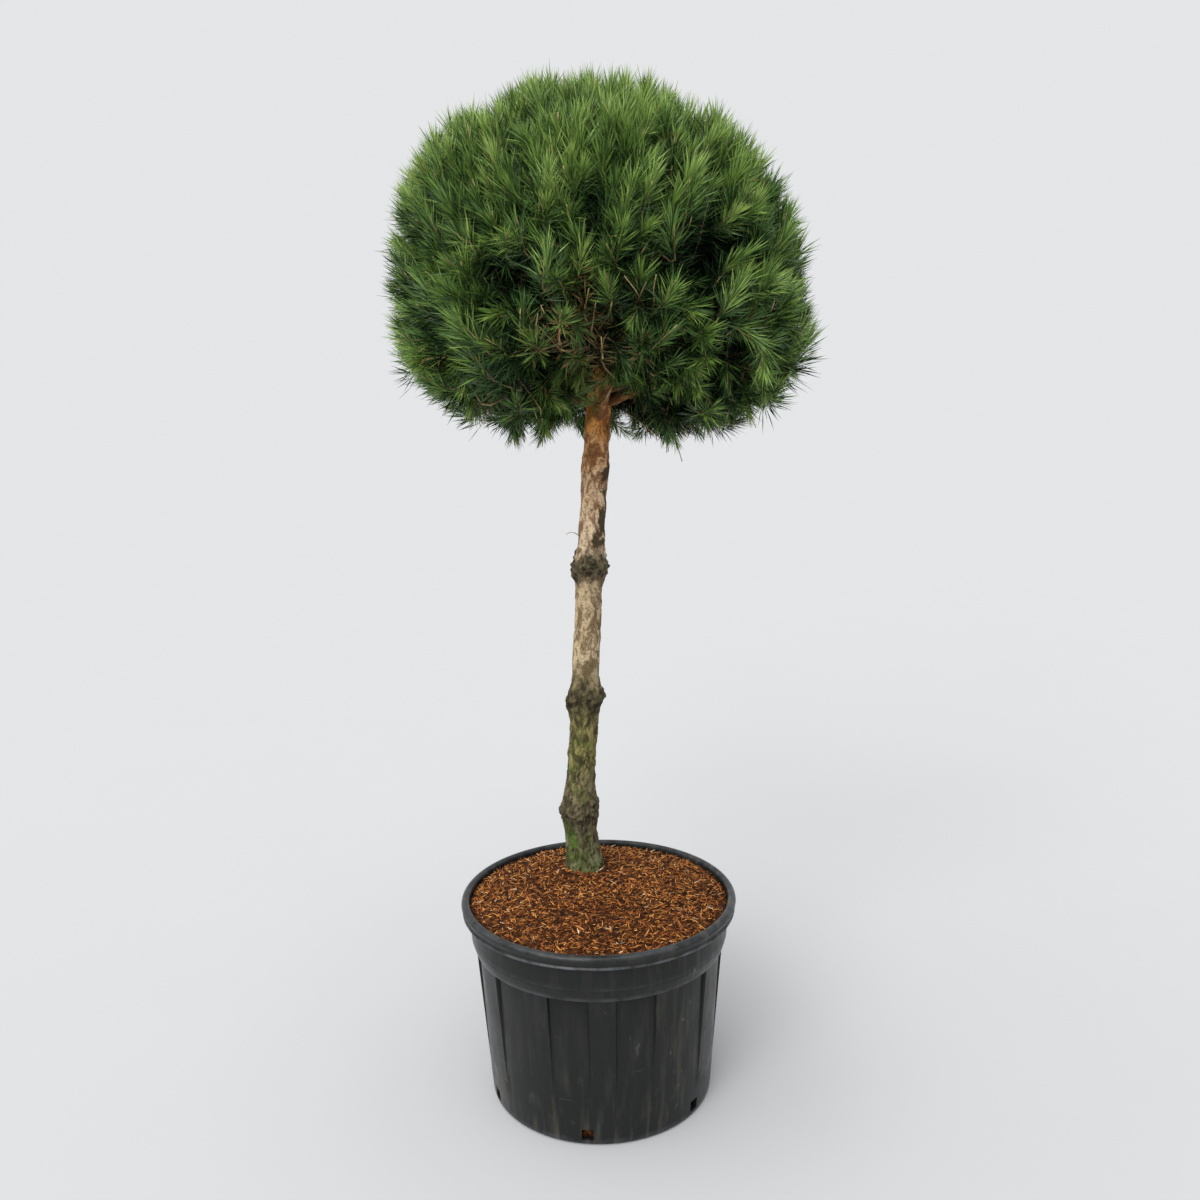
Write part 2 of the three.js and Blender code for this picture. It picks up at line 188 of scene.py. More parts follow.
def points_of(name):
    """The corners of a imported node, as rows of x, y and z."""
    vertices = frame["nodes"][name].data.vertices
    points = np.empty(len(vertices) * 3, np.float32)
    vertices.foreach_get("co", points)
    return points.reshape(-1, 3).astype(float)


def triangles_of(name):
    """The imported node's triangles as an array of corner numbers."""
    mesh = frame["nodes"][name].data
    mesh.calc_loop_triangles()
    corners = np.empty(len(mesh.loop_triangles) * 3, np.int32)
    mesh.loop_triangles.foreach_get("vertices", corners)
    return corners.reshape(-1, 3)


def joined(parts):
    """Several (points, faces) pairs as one."""
    points, faces, start = [], [], 0
    for part_points, part_faces in parts:
        points.append(part_points)
        faces.append(part_faces + start)
        start += len(part_points)
    return np.concatenate(points), np.concatenate(faces)


def make_mesh(name, points, faces, attributes=()):
    """A mesh from arrays of points and of faces that all have as many corners."""
    mesh = bpy.data.meshes.new(name)
    corners = faces.shape[1] if len(faces) else 0
    mesh.vertices.add(len(points))
    mesh.vertices.foreach_set("co", np.asarray(points, np.float32).ravel())
    if corners:
        mesh.loops.add(faces.size)
        mesh.loops.foreach_set("vertex_index", np.asarray(faces, np.int32).ravel())
        mesh.polygons.add(len(faces))
        mesh.polygons.foreach_set("loop_start", np.arange(len(faces), dtype=np.int32) * corners)
    for label, kind, values in attributes:
        layer = mesh.attributes.new(label, kind, "POINT")
        key = "vector" if kind == "FLOAT_VECTOR" else "value"
        layer.data.foreach_set(key, np.asarray(values).ravel())
    mesh.update(calc_edges=True)
    mesh.validate()
    return mesh


def add_piece(name, mesh, nodes=()):
    """Shows a finished mesh as a piece of the object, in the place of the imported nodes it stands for."""
    piece = bpy.data.objects.new(name, mesh)
    bpy.context.scene.collection.objects.link(piece)
    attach(piece, "root")
    if nodes:
        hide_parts(*nodes)
    return piece


def smooth_shade(mesh, angle):
    mesh.shade_smooth()
    mesh.set_sharp_from_angle(angle=math.radians(angle))


def grid_faces(rows, columns):
    """Quads of a grid that is closed round and open at its two ends."""
    first = np.arange(columns)
    second = (first + 1) % columns
    faces = [np.stack([r * columns + first, r * columns + second,
                       (r + 1) * columns + second, (r + 1) * columns + first], axis=1)
             for r in range(rows - 1)]
    return np.concatenate(faces)


def split_quads(quads):
    """Each quad as two triangles."""
    return np.concatenate([quads[:, [0, 1, 2]], quads[:, [0, 2, 3]]])


def fan(centre, start, columns, upward):
    """Triangles from a centre point to the ring of points that begins at start."""
    first = start + np.arange(columns)
    second = start + (np.arange(columns) + 1) % columns
    around = (first, second) if upward else (second, first)
    return np.stack([np.full(columns, centre), *around], axis=1)


def tube(path, radii, sides):
    """A closed tube of triangles round a path, with flat ends."""
    path = np.asarray(path, float)
    along = np.gradient(path, axis=0)
    along /= np.linalg.norm(along, axis=1, keepdims=True)
    whole = path[-1] - path[0]
    reference = np.eye(3)[int(np.argmin(np.abs(whole)))]
    side = np.cross(along, reference)
    side /= np.linalg.norm(side, axis=1, keepdims=True)
    other = np.cross(along, side)
    turn = np.arange(sides) * 2 * math.pi / sides
    ring = (np.cos(turn)[None, :, None] * side[:, None, :]
            + np.sin(turn)[None, :, None] * other[:, None, :])
    points = path[:, None, :] + ring * np.asarray(radii, float)[:, None, None]
    last = (len(path) - 1) * sides
    first_cap = np.array([[0, k + 1, k] for k in range(1, sides - 1)])
    last_cap = np.array([[last, last + k, last + k + 1] for k in range(1, sides - 1)])
    walls = split_quads(grid_faces(len(path), sides))
    return points.reshape(-1, 3), np.concatenate([walls, first_cap, last_cap])


def curved_path(start, start_way, end, end_way, count):
    """Points of a limb that leaves one way and arrives another."""
    reach = np.linalg.norm(end - start)
    t = np.linspace(0, 1, count)[:, None]
    return ((2 * t**3 - 3 * t**2 + 1) * start + (t**3 - 2 * t**2 + t) * start_way * reach
            + (-2 * t**3 + 3 * t**2) * end + (t**3 - t**2) * end_way * reach)


def unit(vectors):
    vectors = np.asarray(vectors, float)
    return vectors / np.maximum(np.linalg.norm(vectors, axis=-1, keepdims=True), 1e-9)


def rough_field(points, scale, octaves=3, shift=0.0):
    """Fractal noise at every point, about -1 to 1; scale may differ along x, y and z."""
    scaled = np.asarray(points) * np.asarray(scale) + shift
    return np.array([noise.fractal(p, 1.0, 2.0, octaves) for p in map(Vector, scaled)])


# ---------------------------------------------------------------- geometry nodes

def feed(tree, socket, value):
    """Links a value that is a socket, and sets any other as the socket's constant."""
    if isinstance(value, bpy.types.NodeSocket):
        tree.links.new(value, socket)
    else:
        socket.default_value = value


def add_node(tree, kind, inputs, settings):
    """A new node with its settings, and its inputs fed by name or number."""
    node = tree.nodes.new(kind)
    for key, value in settings.items():
        setattr(node, key, value)
    for key, value in inputs.items():
        feed(tree, node.inputs[key], value)
    return node


class Tree:
    """A geometry node tree in the making, with named inputs and one geometry output."""

    def __init__(self, name, inputs):
        self.group = bpy.data.node_groups.new(name, "GeometryNodeTree")
        face = self.group.interface
        face.new_socket("Geometry", in_out="INPUT", socket_type="NodeSocketGeometry")
        face.new_socket("Geometry", in_out="OUTPUT", socket_type="NodeSocketGeometry")
        for label, kind in inputs:
            face.new_socket(label, in_out="INPUT", socket_type=kind)
        self.input = self.add("NodeGroupInput").outputs
        self.output = self.add("NodeGroupOutput").inputs

    def add(self, kind, inputs=None, **settings):
        return add_node(self.group, kind, inputs or {}, settings)

    def attribute(self, label, kind):
        return self.add("GeometryNodeInputNamedAttribute", {"Name": label}, data_type=kind).outputs[0]

    def finish(self, geometry):
        """Ends the tree in Realize Instances and Set Material."""
        real = self.add("GeometryNodeRealizeInstances", {"Geometry": geometry}).outputs[0]
        dressed = self.add("GeometryNodeSetMaterial",
                           {"Geometry": real, "Material": self.input["Material"]}).outputs[0]
        self.group.links.new(dressed, self.output["Geometry"])
        return self.group


def run_tree(name, mesh, group, values):
    """Runs a node tree on a mesh and gives the result as a plain mesh."""
    carrier = bpy.data.objects.new(name, mesh)
    bpy.context.scene.collection.objects.link(carrier)
    modifier = carrier.modifiers.new(name, "NODES")
    modifier.node_group = group
    for item in group.interface.items_tree:
        if item.item_type == "SOCKET" and item.in_out == "INPUT" and item.name in values:
            modifier[item.identifier] = values[item.name]
    evaluated = carrier.evaluated_get(bpy.context.evaluated_depsgraph_get())
    made = bpy.data.meshes.new_from_object(evaluated)
    made.name = name
    carrier.modifiers.clear()
    bpy.data.objects.remove(carrier)
    if not len(made.polygons):
        raise RuntimeError(f"the node tree made no faces for {name}")
    return made


def pattern_set(name, meshes):
    """A hidden collection of shapes for a tree to pick from, in the order given."""
    collection = bpy.data.collections.new(name)
    for i, mesh in enumerate(meshes):
        collection.objects.link(bpy.data.objects.new(f"{name}_{i:02d}", mesh))
    return collection


def discard(collection):
    for shape in list(collection.objects):
        bpy.data.objects.remove(shape)
    bpy.data.collections.remove(collection)


# ---------------------------------------------------------------- materials

class Finish:
    """A material in the making: a Principled surface and the nodes that feed it."""

    def __init__(self, name, roughness=0.5, gloss=0.5):
        self.material = bpy.data.materials.new(name)
        self.material.use_nodes = True
        self.tree = self.material.node_tree
        self.surface = self.tree.nodes["Principled BSDF"]
        self.place = self.add("ShaderNodeTexCoord").outputs["Object"]
        self.surface.inputs["Roughness"].default_value = roughness
        self.surface.inputs["Specular IOR Level"].default_value = gloss

    def add(self, kind, inputs=None, **settings):
        return add_node(self.tree, kind, inputs or {}, settings)

    def noise(self, scale, stretch=(1, 1, 1), detail=4.0, roughness=0.6, distortion=0.0):
        place = self.add("ShaderNodeMapping", {"Vector": self.place, "Scale": stretch}).outputs[0]
        return self.add("ShaderNodeTexNoise", {
            "Vector": place, "Scale": scale, "Detail": detail,
            "Roughness": roughness, "Distortion": distortion}).outputs["Fac"]

    def between(self, value, low, high, to_low=0.0, to_high=1.0):
        return self.add("ShaderNodeMapRange", {
            "Value": value, "From Min": low, "From Max": high,
            "To Min": to_low, "To Max": to_high}).outputs[0]

    def math(self, operation, first, second):
        return self.add("ShaderNodeMath", {0: first, 1: second}, operation=operation).outputs[0]

    def times(self, first, second):
        return self.math("MULTIPLY", first, second)

    def mix(self, share, first, second):
        node = self.add("ShaderNodeMix", {"Factor": share}, data_type="RGBA", blend_type="MIX")
        for slot, colour in ((6, first), (7, second)):
            plain = not isinstance(colour, bpy.types.NodeSocket)
            feed(self.tree, node.inputs[slot], (*colour, 1) if plain else colour)
        return node.outputs[2]

    def ramp(self, value, stops):
        node = self.add("ShaderNodeValToRGB", {"Fac": value})
        node.color_ramp.elements[0].position = stops[0][0]
        node.color_ramp.elements[0].color = (*stops[0][1], 1)
        node.color_ramp.elements[1].position = stops[-1][0]
        node.color_ramp.elements[1].color = (*stops[-1][1], 1)
        for position, colour in stops[1:-1]:
            node.color_ramp.elements.new(position).color = (*colour, 1)
        return node.outputs["Color"]

    def attribute(self, label):
        return self.add("ShaderNodeAttribute", attribute_name=label).outputs["Fac"]

    def set(self, label, value):
        self.tree.links.new(value, self.surface.inputs[label])

    def bump(self, value, strength, distance):
        node = self.add("ShaderNodeBump", {"Height": value, "Strength": strength, "Distance": distance})
        self.set("Normal", node.outputs[0])


def plastic_finish(settings):
    """Satin black moulded plastic with dust, splashes, scuffs and rubbed edges, painted shade in the grooves
    and a painted highlight on the lip.
    """
    finish = Finish("worn_black_plastic", gloss=0.24)
    position = finish.add("ShaderNodeSeparateXYZ", {"Vector": finish.place}).outputs
    clean = finish.mix(finish.noise(7), tuple(settings.plastic), tuple(c * 1.5 for c in settings.plastic))
    streaks = finish.between(finish.noise(10, stretch=(5, 5, 0.6), detail=7), 0.48, 0.75)
    right = finish.between(position["X"], 0.02, 0.22, 0.10, 0.8)
    low = finish.between(position["Z"], 0.20, 0.02, 0.15, 0.8)
    dusty = finish.times(streaks, finish.math("MAXIMUM", right, low))
    colour = finish.mix(finish.times(dusty, 0.8), clean, tuple(settings.dust))
    smears = finish.between(finish.noise(30, stretch=(1.5, 1.5, 0.8), detail=6), 0.63, 0.71, 0.0, 0.7)
    colour = finish.mix(finish.times(smears, right), colour, (0.16, 0.155, 0.13))
    scratches = finish.between(finish.noise(17, stretch=(0.5, 0.5, 9), detail=1), 0.735, 0.75, 0.0, 0.16)
    colour = finish.mix(scratches, colour, (0.16, 0.16, 0.15))
    # painted shade: near black under the lip, under the ledge and along the panels' edges
    groove_shade = finish.times(finish.attribute("groove_shade"), 0.8)
    colour = finish.mix(groove_shade, colour, (0.004, 0.004, 0.004))
    # rubbed edges, partly a painted highlight on the lip's shoulders and bead
    wear_and_highlight = finish.times(finish.attribute("wear_and_highlight"), finish.between(finish.noise(40), 0.35, 0.7))
    colour = finish.mix(finish.times(wear_and_highlight, 0.7), colour, (0.12, 0.135, 0.15))
    finish.set("Base Color", colour)
    finish.set("Roughness", finish.between(finish.noise(14), 0.3, 0.7, 0.24, 0.42))
    finish.bump(finish.noise(160, detail=4), 0.10, 0.002)
    return finish.material


def soil_finish():
    """Dark damp compost between the chips."""
    finish = Finish("damp_compost", roughness=1.0, gloss=0.1)
    finish.set("Base Color", finish.ramp(finish.noise(90, detail=6), [
        (0.3, (0.010, 0.004, 0.002)), (0.5, (0.045, 0.015, 0.005)), (0.7, (0.16, 0.056, 0.016))]))
    finish.bump(finish.noise(260, detail=5), 0.8, 0.004)
    return finish.material


def chip_finish(label, colour):
    """One colour of bark chip, a little uneven along the fibre."""
    finish = Finish(f"bark_chip_{label}", roughness=0.9, gloss=0.2)
    darker = tuple(0.55 * c for c in colour)
    lighter = tuple(min(1.0, 1.3 * c) for c in colour)
    finish.set("Base Color", finish.mix(finish.noise(120, detail=3), darker, lighter))
    return finish.material


BARK_HEIGHT = 1.14  # height above the stem's foot that the table below spans
BARK_BY_HEIGHT = [
    # share of that height, bark between the flakes, and the flakes themselves
    (0.00, (0.060, 0.066, 0.026), (0.170, 0.175, 0.085)),
    (0.12, (0.070, 0.056, 0.032), (0.190, 0.150, 0.095)),
    (0.24, (0.045, 0.042, 0.014), (0.240, 0.215, 0.072)),
    (0.35, (0.070, 0.058, 0.026), (0.215, 0.175, 0.085)),
    (0.40, (0.170, 0.118, 0.060), (0.500, 0.395, 0.245)),
    (0.54, (0.165, 0.112, 0.058), (0.470, 0.360, 0.215)),
    (0.64, (0.225, 0.140, 0.080), (0.700, 0.570, 0.385)),
    (0.74, (0.215, 0.105, 0.050), (0.640, 0.440, 0.260)),
    # the top rows are orange bark, partly lightened as painted light where the head shades the stem
    (0.83, (0.290, 0.105, 0.022), (0.780, 0.350, 0.095)),
    (1.00, (0.370, 0.125, 0.018), (0.900, 0.360, 0.065)),
]


def stem_finish():
    """Bark that changes with height: mossy foot, buff flakes, orange under the head partly lifted by painted
    light, and painted shade in the crevices.
    """
    finish = Finish("pine_bark", roughness=0.92, gloss=0.25)
    position = finish.add("ShaderNodeSeparateXYZ", {"Vector": finish.place}).outputs
    drift = finish.between(finish.noise(11, detail=5), 0.25, 0.75, -0.05, 0.05)
    share = finish.between(finish.math("ADD", position["Z"], drift), STEM_LOW.z, STEM_LOW.z + BARK_HEIGHT)
    ground = finish.ramp(share, [(at, low) for at, low, _ in BARK_BY_HEIGHT])
    plates = finish.ramp(share, [(at, high) for at, _, high in BARK_BY_HEIGHT])
    flakes = finish.noise(55, stretch=(1, 1, 0.55), detail=7, roughness=0.65, distortion=0.8)
    colour = finish.mix(finish.between(flakes, 0.44, 0.56), ground, plates)
    speckle = finish.noise(150, stretch=(1, 1, 1.8), detail=4)
    colour = finish.mix(finish.between(speckle, 0.52, 0.66, 0.0, 0.6), colour, ground)
    side = finish.attribute("side")
    band = finish.times(finish.between(position["Z"], 1.12, 1.18), finish.between(side, -0.2, 0.5))
    band = finish.times(band, finish.between(position["Z"], 1.42, 1.28, 0.3, 1.0))
    limit = finish.between(band, 0.0, 1.0, 0.64, 0.46)
    patches = finish.noise(24, stretch=(1, 1, 0.6), detail=9, roughness=0.70, distortion=0.6)
    dark = finish.between(finish.math("SUBTRACT", patches, limit), 0.0, 0.03, 0.0, 0.94)
    colour = finish.mix(dark, colour, finish.mix(speckle, (0.020, 0.014, 0.006), (0.070, 0.050, 0.022)))
    moss_height = finish.between(position["Z"], 0.93, 0.78)
    moss = finish.between(finish.noise(34, detail=7, roughness=0.7), 0.50, 0.62, 0.0, 0.62)
    colour = finish.mix(finish.times(moss, moss_height), colour, (0.080, 0.105, 0.018))
    left_foot = finish.times(finish.between(side, -0.05, -0.5),
                            finish.between(position["Z"], 0.595, 0.55))
    left_foot = finish.times(left_foot, finish.between(position["Z"], 0.475, 0.51))
    bright = finish.times(left_foot, finish.between(finish.noise(45, detail=5), 0.42, 0.55))
    colour = finish.mix(bright, colour, (0.070, 0.130, 0.018))
    lumps = finish.mix(finish.between(finish.noise(80, detail=5), 0.4, 0.65),
                       (0.012, 0.010, 0.005), (0.120, 0.105, 0.052))
    colour = finish.mix(finish.attribute("knuckle"), colour, lumps)
    # painted shade in the fissures, at the flakes' edges and in the whorls' hollows
    colour = finish.mix(finish.attribute("crevice_shade"), colour, (0.018, 0.012, 0.006))
    finish.set("Base Color", colour)
    finish.bump(finish.noise(230, detail=6), 0.7, 0.002)
    return finish.material


def bough_finish():
    """Flaking orange-brown bark of the boughs, dark where it is old."""
    finish = Finish("bough_bark", roughness=0.9, gloss=0.25)
    finish.set("Base Color", finish.ramp(finish.noise(45, detail=6), [
        (0.34, (0.050, 0.021, 0.008)), (0.52, (0.190, 0.078, 0.022)), (0.70, (0.420, 0.180, 0.050))]))
    finish.bump(finish.noise(200, detail=4), 0.6, 0.0015)
    return finish.material


def twig_finish():
    """Thin buff bark of the twigs."""
    finish = Finish("twig_bark", roughness=0.85, gloss=0.25)
    finish.set("Base Color", finish.ramp(finish.noise(35, detail=5), [
        (0.35, (0.110, 0.070, 0.030)), (0.5, (0.28, 0.205, 0.090)), (0.65, (0.55, 0.44, 0.23))]))
    finish.bump(finish.noise(300, detail=3), 0.4, 0.001)
    return finish.material


# ---------------------------------------------------------------- pot

def wall_radius(settings, z):
    lip_foot = POT_HIGH.z - settings.lip_height
    share = (z - 0.01) / (lip_foot - 0.01)
    return settings.base_radius + (settings.wall_top_radius - settings.base_radius) * share


def panel_columns(settings):
    """Angles of the pot's columns, close together at the edges of each panel."""
    period = 2 * math.pi / settings.panel_count
    half = period * settings.panel_share / 2
    edge = math.radians(0.22)
    inner = np.linspace(-half + edge, half - edge, 7)
    outer = np.linspace(half + edge, period - half - edge, 5)
    one = np.concatenate([inner, outer])
    turns = settings.panel_turn + np.arange(settings.panel_count) * period
    return (turns[:, None] + one[None, :]).ravel(), np.tile(
        np.concatenate([np.ones(len(inner)), np.zeros(len(outer))]), settings.panel_count)


def pot_profile(settings):
    """Rows of radius, height, panel depth, rubbed edges with a painted highlight, and painted shade in the
    grooves, from the floor's middle up and over.
    """
    outer, inner = POT_HIGH.x, POT_HIGH.x - settings.lip_width
    top = POT_HIGH.z
    lip_foot = top - settings.lip_height
    panel_top = lip_foot - settings.collar_height
    panel_foot = 0.06
    base, collar = settings.base_radius, settings.collar_radius
    rows = [(0.0005, 0.003, 0, 0, 0), (0.02, 0.003, 0, 0, 0), (0.19, 0.003, 0, 0, 0),
            (0.196, 0.0, 0, 0, 0), (0.212, 0.0, 0, 0, 0), (base - 0.009, 0.0, 0, 0.3, 0)]
    for angle in np.linspace(15, 90, 5):
        rows.append((base - 0.008 + 0.008 * math.sin(math.radians(angle)),
                     0.010 - 0.010 * math.cos(math.radians(angle)), 0, 0.35, 0))
    for z in np.linspace(0.018, panel_foot, 5):
        rows.append((wall_radius(settings, z), z, 0, 0, 0))
    for z in np.linspace(panel_foot + 0.006, panel_top - 0.0012, 34):
        share = (z - panel_foot) / (panel_top - panel_foot)
        rows.append((wall_radius(settings, z), z, settings.panel_depth * share**0.8, 0, share**8))
    rows += [(wall_radius(settings, panel_top), panel_top - 0.0002, 0, 0.1, 0.1),
             (wall_radius(settings, panel_top) + 0.0012, panel_top + 0.0022, 0, 0.5, 0)]
    slope_top = panel_top + settings.collar_slope
    for share in (0.4, 0.75, 0.93, 1.0):
        rows.append((collar + (1 - share) * (wall_radius(settings, panel_top) - collar + 0.0012)
                     - 0.0008 * (share == 1.0), panel_top + share * settings.collar_slope, 0,
                     0.25 * (share == 1.0), 0))
    rows.append((collar, slope_top + 0.003, 0, 0.1, 0))
    for z in np.linspace(slope_top + 0.010, lip_foot - 0.006, 5):
        rows.append((collar, z, 0, 0, 0))
    rows += [
        (collar, lip_foot - 0.0026, 0, 0, 0.5), (collar + 0.0008, lip_foot - 0.0006, 0, 0, 1),
        (collar + 0.004, lip_foot + 0.0002, 0, 0, 1), (outer - 0.0066, lip_foot - 0.0002, 0, 0.2, 0),
        (outer - 0.0034, lip_foot + 0.0006, 0, 0.9, 0), (outer - 0.0024, lip_foot + 0.0024, 0, 1.0, 0),
        (outer - 0.0034, lip_foot + 0.0044, 0, 0.7, 0), (outer - 0.0050, lip_foot + 0.0060, 0, 0.1, 0.3),
        (outer - 0.0040, lip_foot + 0.010, 0, 0, 0), (outer - 0.0016, lip_foot + 0.016, 0, 0, 0),
        (outer - 0.0002, top - 0.0085, 0, 0.05, 0), (outer - 0.0010, top - 0.0050, 0, 0.3, 0),
        (outer - 0.0032, top - 0.0020, 0, 0.5, 0), (outer - 0.0064, top - 0.0004, 0, 0.4, 0),
        (outer - 0.0090, top, 0, 0.3, 0), (inner + 0.0055, top - 0.0004, 0, 0.3, 0),
        (inner + 0.0026, top - 0.0016, 0, 0.4, 0), (inner + 0.0008, top - 0.004, 0, 0.3, 0),
        (inner, top - 0.009, 0, 0.1, 0), (inner, lip_foot + 0.005, 0, 0, 0),
        (settings.wall_top_radius - settings.wall, lip_foot - 0.007, 0, 0, 0),
        (wall_radius(settings, 0.2) - settings.wall, 0.2, 0, 0, 0),
        (wall_radius(settings, 0.008) - settings.wall, 0.008, 0, 0, 0), (0.0005, 0.008, 0, 0, 0)]
    return np.array(rows)


def pot_mesh(settings):
    angles, sunk = panel_columns(settings)
    profile = pot_profile(settings)
    columns = len(angles)
    radius = profile[:, :1] - profile[:, 2:3] * sunk[None, :]
    points = np.stack([radius * np.sin(angles), -radius * np.cos(angles),
                       np.repeat(profile[:, 1:2], columns, axis=1)], axis=2).reshape(-1, 3)
    ends = np.array([[0, 0, profile[0, 1]], [0, 0, profile[-1, 1]]])
    triangles = np.concatenate([
        split_quads(grid_faces(len(profile), columns)),
        fan(len(points), 0, columns, upward=False),
        fan(len(points) + 1, (len(profile) - 1) * columns, columns, upward=True)])
    # rubbed edges, partly a painted highlight on the lip
    wear_and_highlight = np.repeat(profile[:, 3], columns)
    # painted shade in the grooves: under the lip, under the ledge at the panels' tops and along the panels'
    # side edges
    sides = np.abs(np.roll(sunk, 1) - sunk) + np.abs(np.roll(sunk, -1) - sunk)
    share = profile[:, 2:3] / settings.panel_depth
    groove_shade = profile[:, 4:5] * np.maximum(sunk, share == 0) + 0.7 * sides * sunk * share
    groove_shade = np.clip(groove_shade, 0, 1).ravel()
    return make_mesh("pot_wall", np.concatenate([points, ends]), triangles, [
        ("wear_and_highlight", "FLOAT", np.concatenate([wear_and_highlight, [0, 0]])),
        ("groove_shade", "FLOAT", np.concatenate([groove_shade, [0, 0]]))])


def drain_mesh(settings):
    """Blocks that the drain holes are cut with."""
    half = settings.drain_size / 2
    middle, reach = 0.024, 0.03  # height of the holes, and how far a block reaches in and out
    blocks = []
    for i in range(settings.drain_count):
        turn = settings.drain_turn + i * 2 * math.pi / settings.drain_count
        out = np.array([math.sin(turn), -math.cos(turn), 0])
        side = np.array([math.cos(turn), math.sin(turn), 0])
        path = [out * (settings.base_radius - reach) + (0, 0, middle),
                out * (settings.base_radius + reach) + (0, 0, middle)]
        corner = np.array([[-half, -half], [half, -half], [half, half], [-half, half]])
        points = np.array([p + side * a + np.array([0, 0, b]) for p in path for a, b in corner])
        faces = np.array([[0, 1, 5, 4], [1, 2, 6, 5], [2, 3, 7, 6], [3, 0, 4, 7], [3, 2, 1, 0], [4, 5, 6, 7]])
        blocks.append((points, faces))
    return make_mesh("drain_cutter", *joined(blocks))


class TOPIARY_OT_make_pot(bpy.types.Operator):
    """Moulds the pot: lip, collar, sunk panels, ribs and drain holes"""

    bl_idname = "topiary.make_pot"
    bl_label = "Make pot"

    def execute(self, context):
        settings = context.scene.topiary_pot
        wall = bpy.data.objects.new("pot_wall", pot_mesh(settings))
        cutter = bpy.data.objects.new("drain_cutter", drain_mesh(settings))
        for thing in (wall, cutter):
            context.scene.collection.objects.link(thing)
        cut = wall.modifiers.new("drains", "BOOLEAN")
        cut.object = cutter
        cut.solver = "EXACT"
        mesh = bpy.data.meshes.new_from_object(wall.evaluated_get(context.evaluated_depsgraph_get()))
        mesh.name = "nursery_pot"
        wall.modifiers.clear()
        for thing in (wall, cutter):
            bpy.data.objects.remove(thing)
        smooth_shade(mesh, 30)
        mesh.materials.clear()
        mesh.materials.append(plastic_finish(settings))
        add_piece("nursery_pot", mesh, ["pot"])
        return {"FINISHED"}


# ---------------------------------------------------------------- mulch

RIM_DROP = 0.012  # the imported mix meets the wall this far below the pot's top
BED_DEPTH = 0.045  # and the bed's underside lies this far below it
MOUND_REACH, MOUND_FLAT, MOUND_SLOPE = 0.11, 0.05, 0.12  # the rise round the foot of the stem


def bed_height(x, y):
    """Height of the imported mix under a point, read off its rim and crown."""
    foot = stem_centre(STEM_LOW.z)
    reach = np.hypot(x, y) / MIX_HIGH.x
    near = np.hypot(x - foot[0], y - foot[1])
    wall_top = POT_HIGH.z - RIM_DROP
    dome = wall_top + (MIX_HIGH.z - wall_top) * (1 - reach**2) ** 0.9
    mound = MIX_HIGH.z - MOUND_SLOPE * np.maximum(near - MOUND_FLAT, 0)
    return np.maximum(dome, np.where(near < MOUND_REACH, mound, 0))


def bed_mesh(settings):
    """A lumpy disc of compost that fills the mouth of the pot."""
    rows, columns = 90, 180
    reach = np.linspace(0.004, MIX_HIGH.x - 0.0005, rows)
    angle = np.arange(columns) * 2 * math.pi / columns
    x = np.outer(reach, np.cos(angle)).ravel()
    y = np.outer(reach, np.sin(angle)).ravel()
    flat = np.stack([x, y, np.zeros_like(x)], axis=1)
    lumps = 0.6 * rough_field(flat, 28, 3) + 0.4 * rough_field(flat, 90, 3, 7.0)
    edge = np.clip((MIX_HIGH.x - np.hypot(x, y)) / 0.02, 0, 1)
    z = bed_height(x, y) + settings.lumps * lumps - 0.004 * (1 - edge)
    top = np.stack([x, y, z], axis=1)
    skirt = top[-columns:] * (0.92, 0.92, 0) + (0, 0, POT_HIGH.z - BED_DEPTH)
    middle = np.array([[0, 0, z[:columns].mean()], [0, 0, POT_HIGH.z - BED_DEPTH]])
    points = np.concatenate([top, skirt, middle])
    quads = grid_faces(rows + 1, columns)
    faces = np.concatenate([
        quads[:, [2, 1, 3]], quads[:, [1, 0, 3]],
        fan(len(points) - 2, 0, columns, upward=True),
        fan(len(points) - 1, rows * columns, columns, upward=False)])
    return make_mesh("compost", points, faces)


def chip_mesh(seed, settings):
    """A split, slightly bent sliver of bark."""
    rng = np.random.default_rng(seed)
    size = settings.chip_length * rng.uniform(0.3, 1.0)
    t = np.linspace(-0.5, 0.5, 3)
    path = np.stack([t * size, size * 0.36 * (0.25 - t**2) * rng.uniform(-1, 1),
                     size * 0.22 * (0.25 - t**2) * rng.choice([-1, 1])], axis=1)
    radii = np.array([0.35, 1.0, 0.4]) * settings.chip_width / 2 * rng.uniform(0.3, 1.0)
    points, faces = tube(path, radii, 4)
    points[:, 2] *= rng.uniform(0.35, 0.7)
    return make_mesh("chip", points, faces)


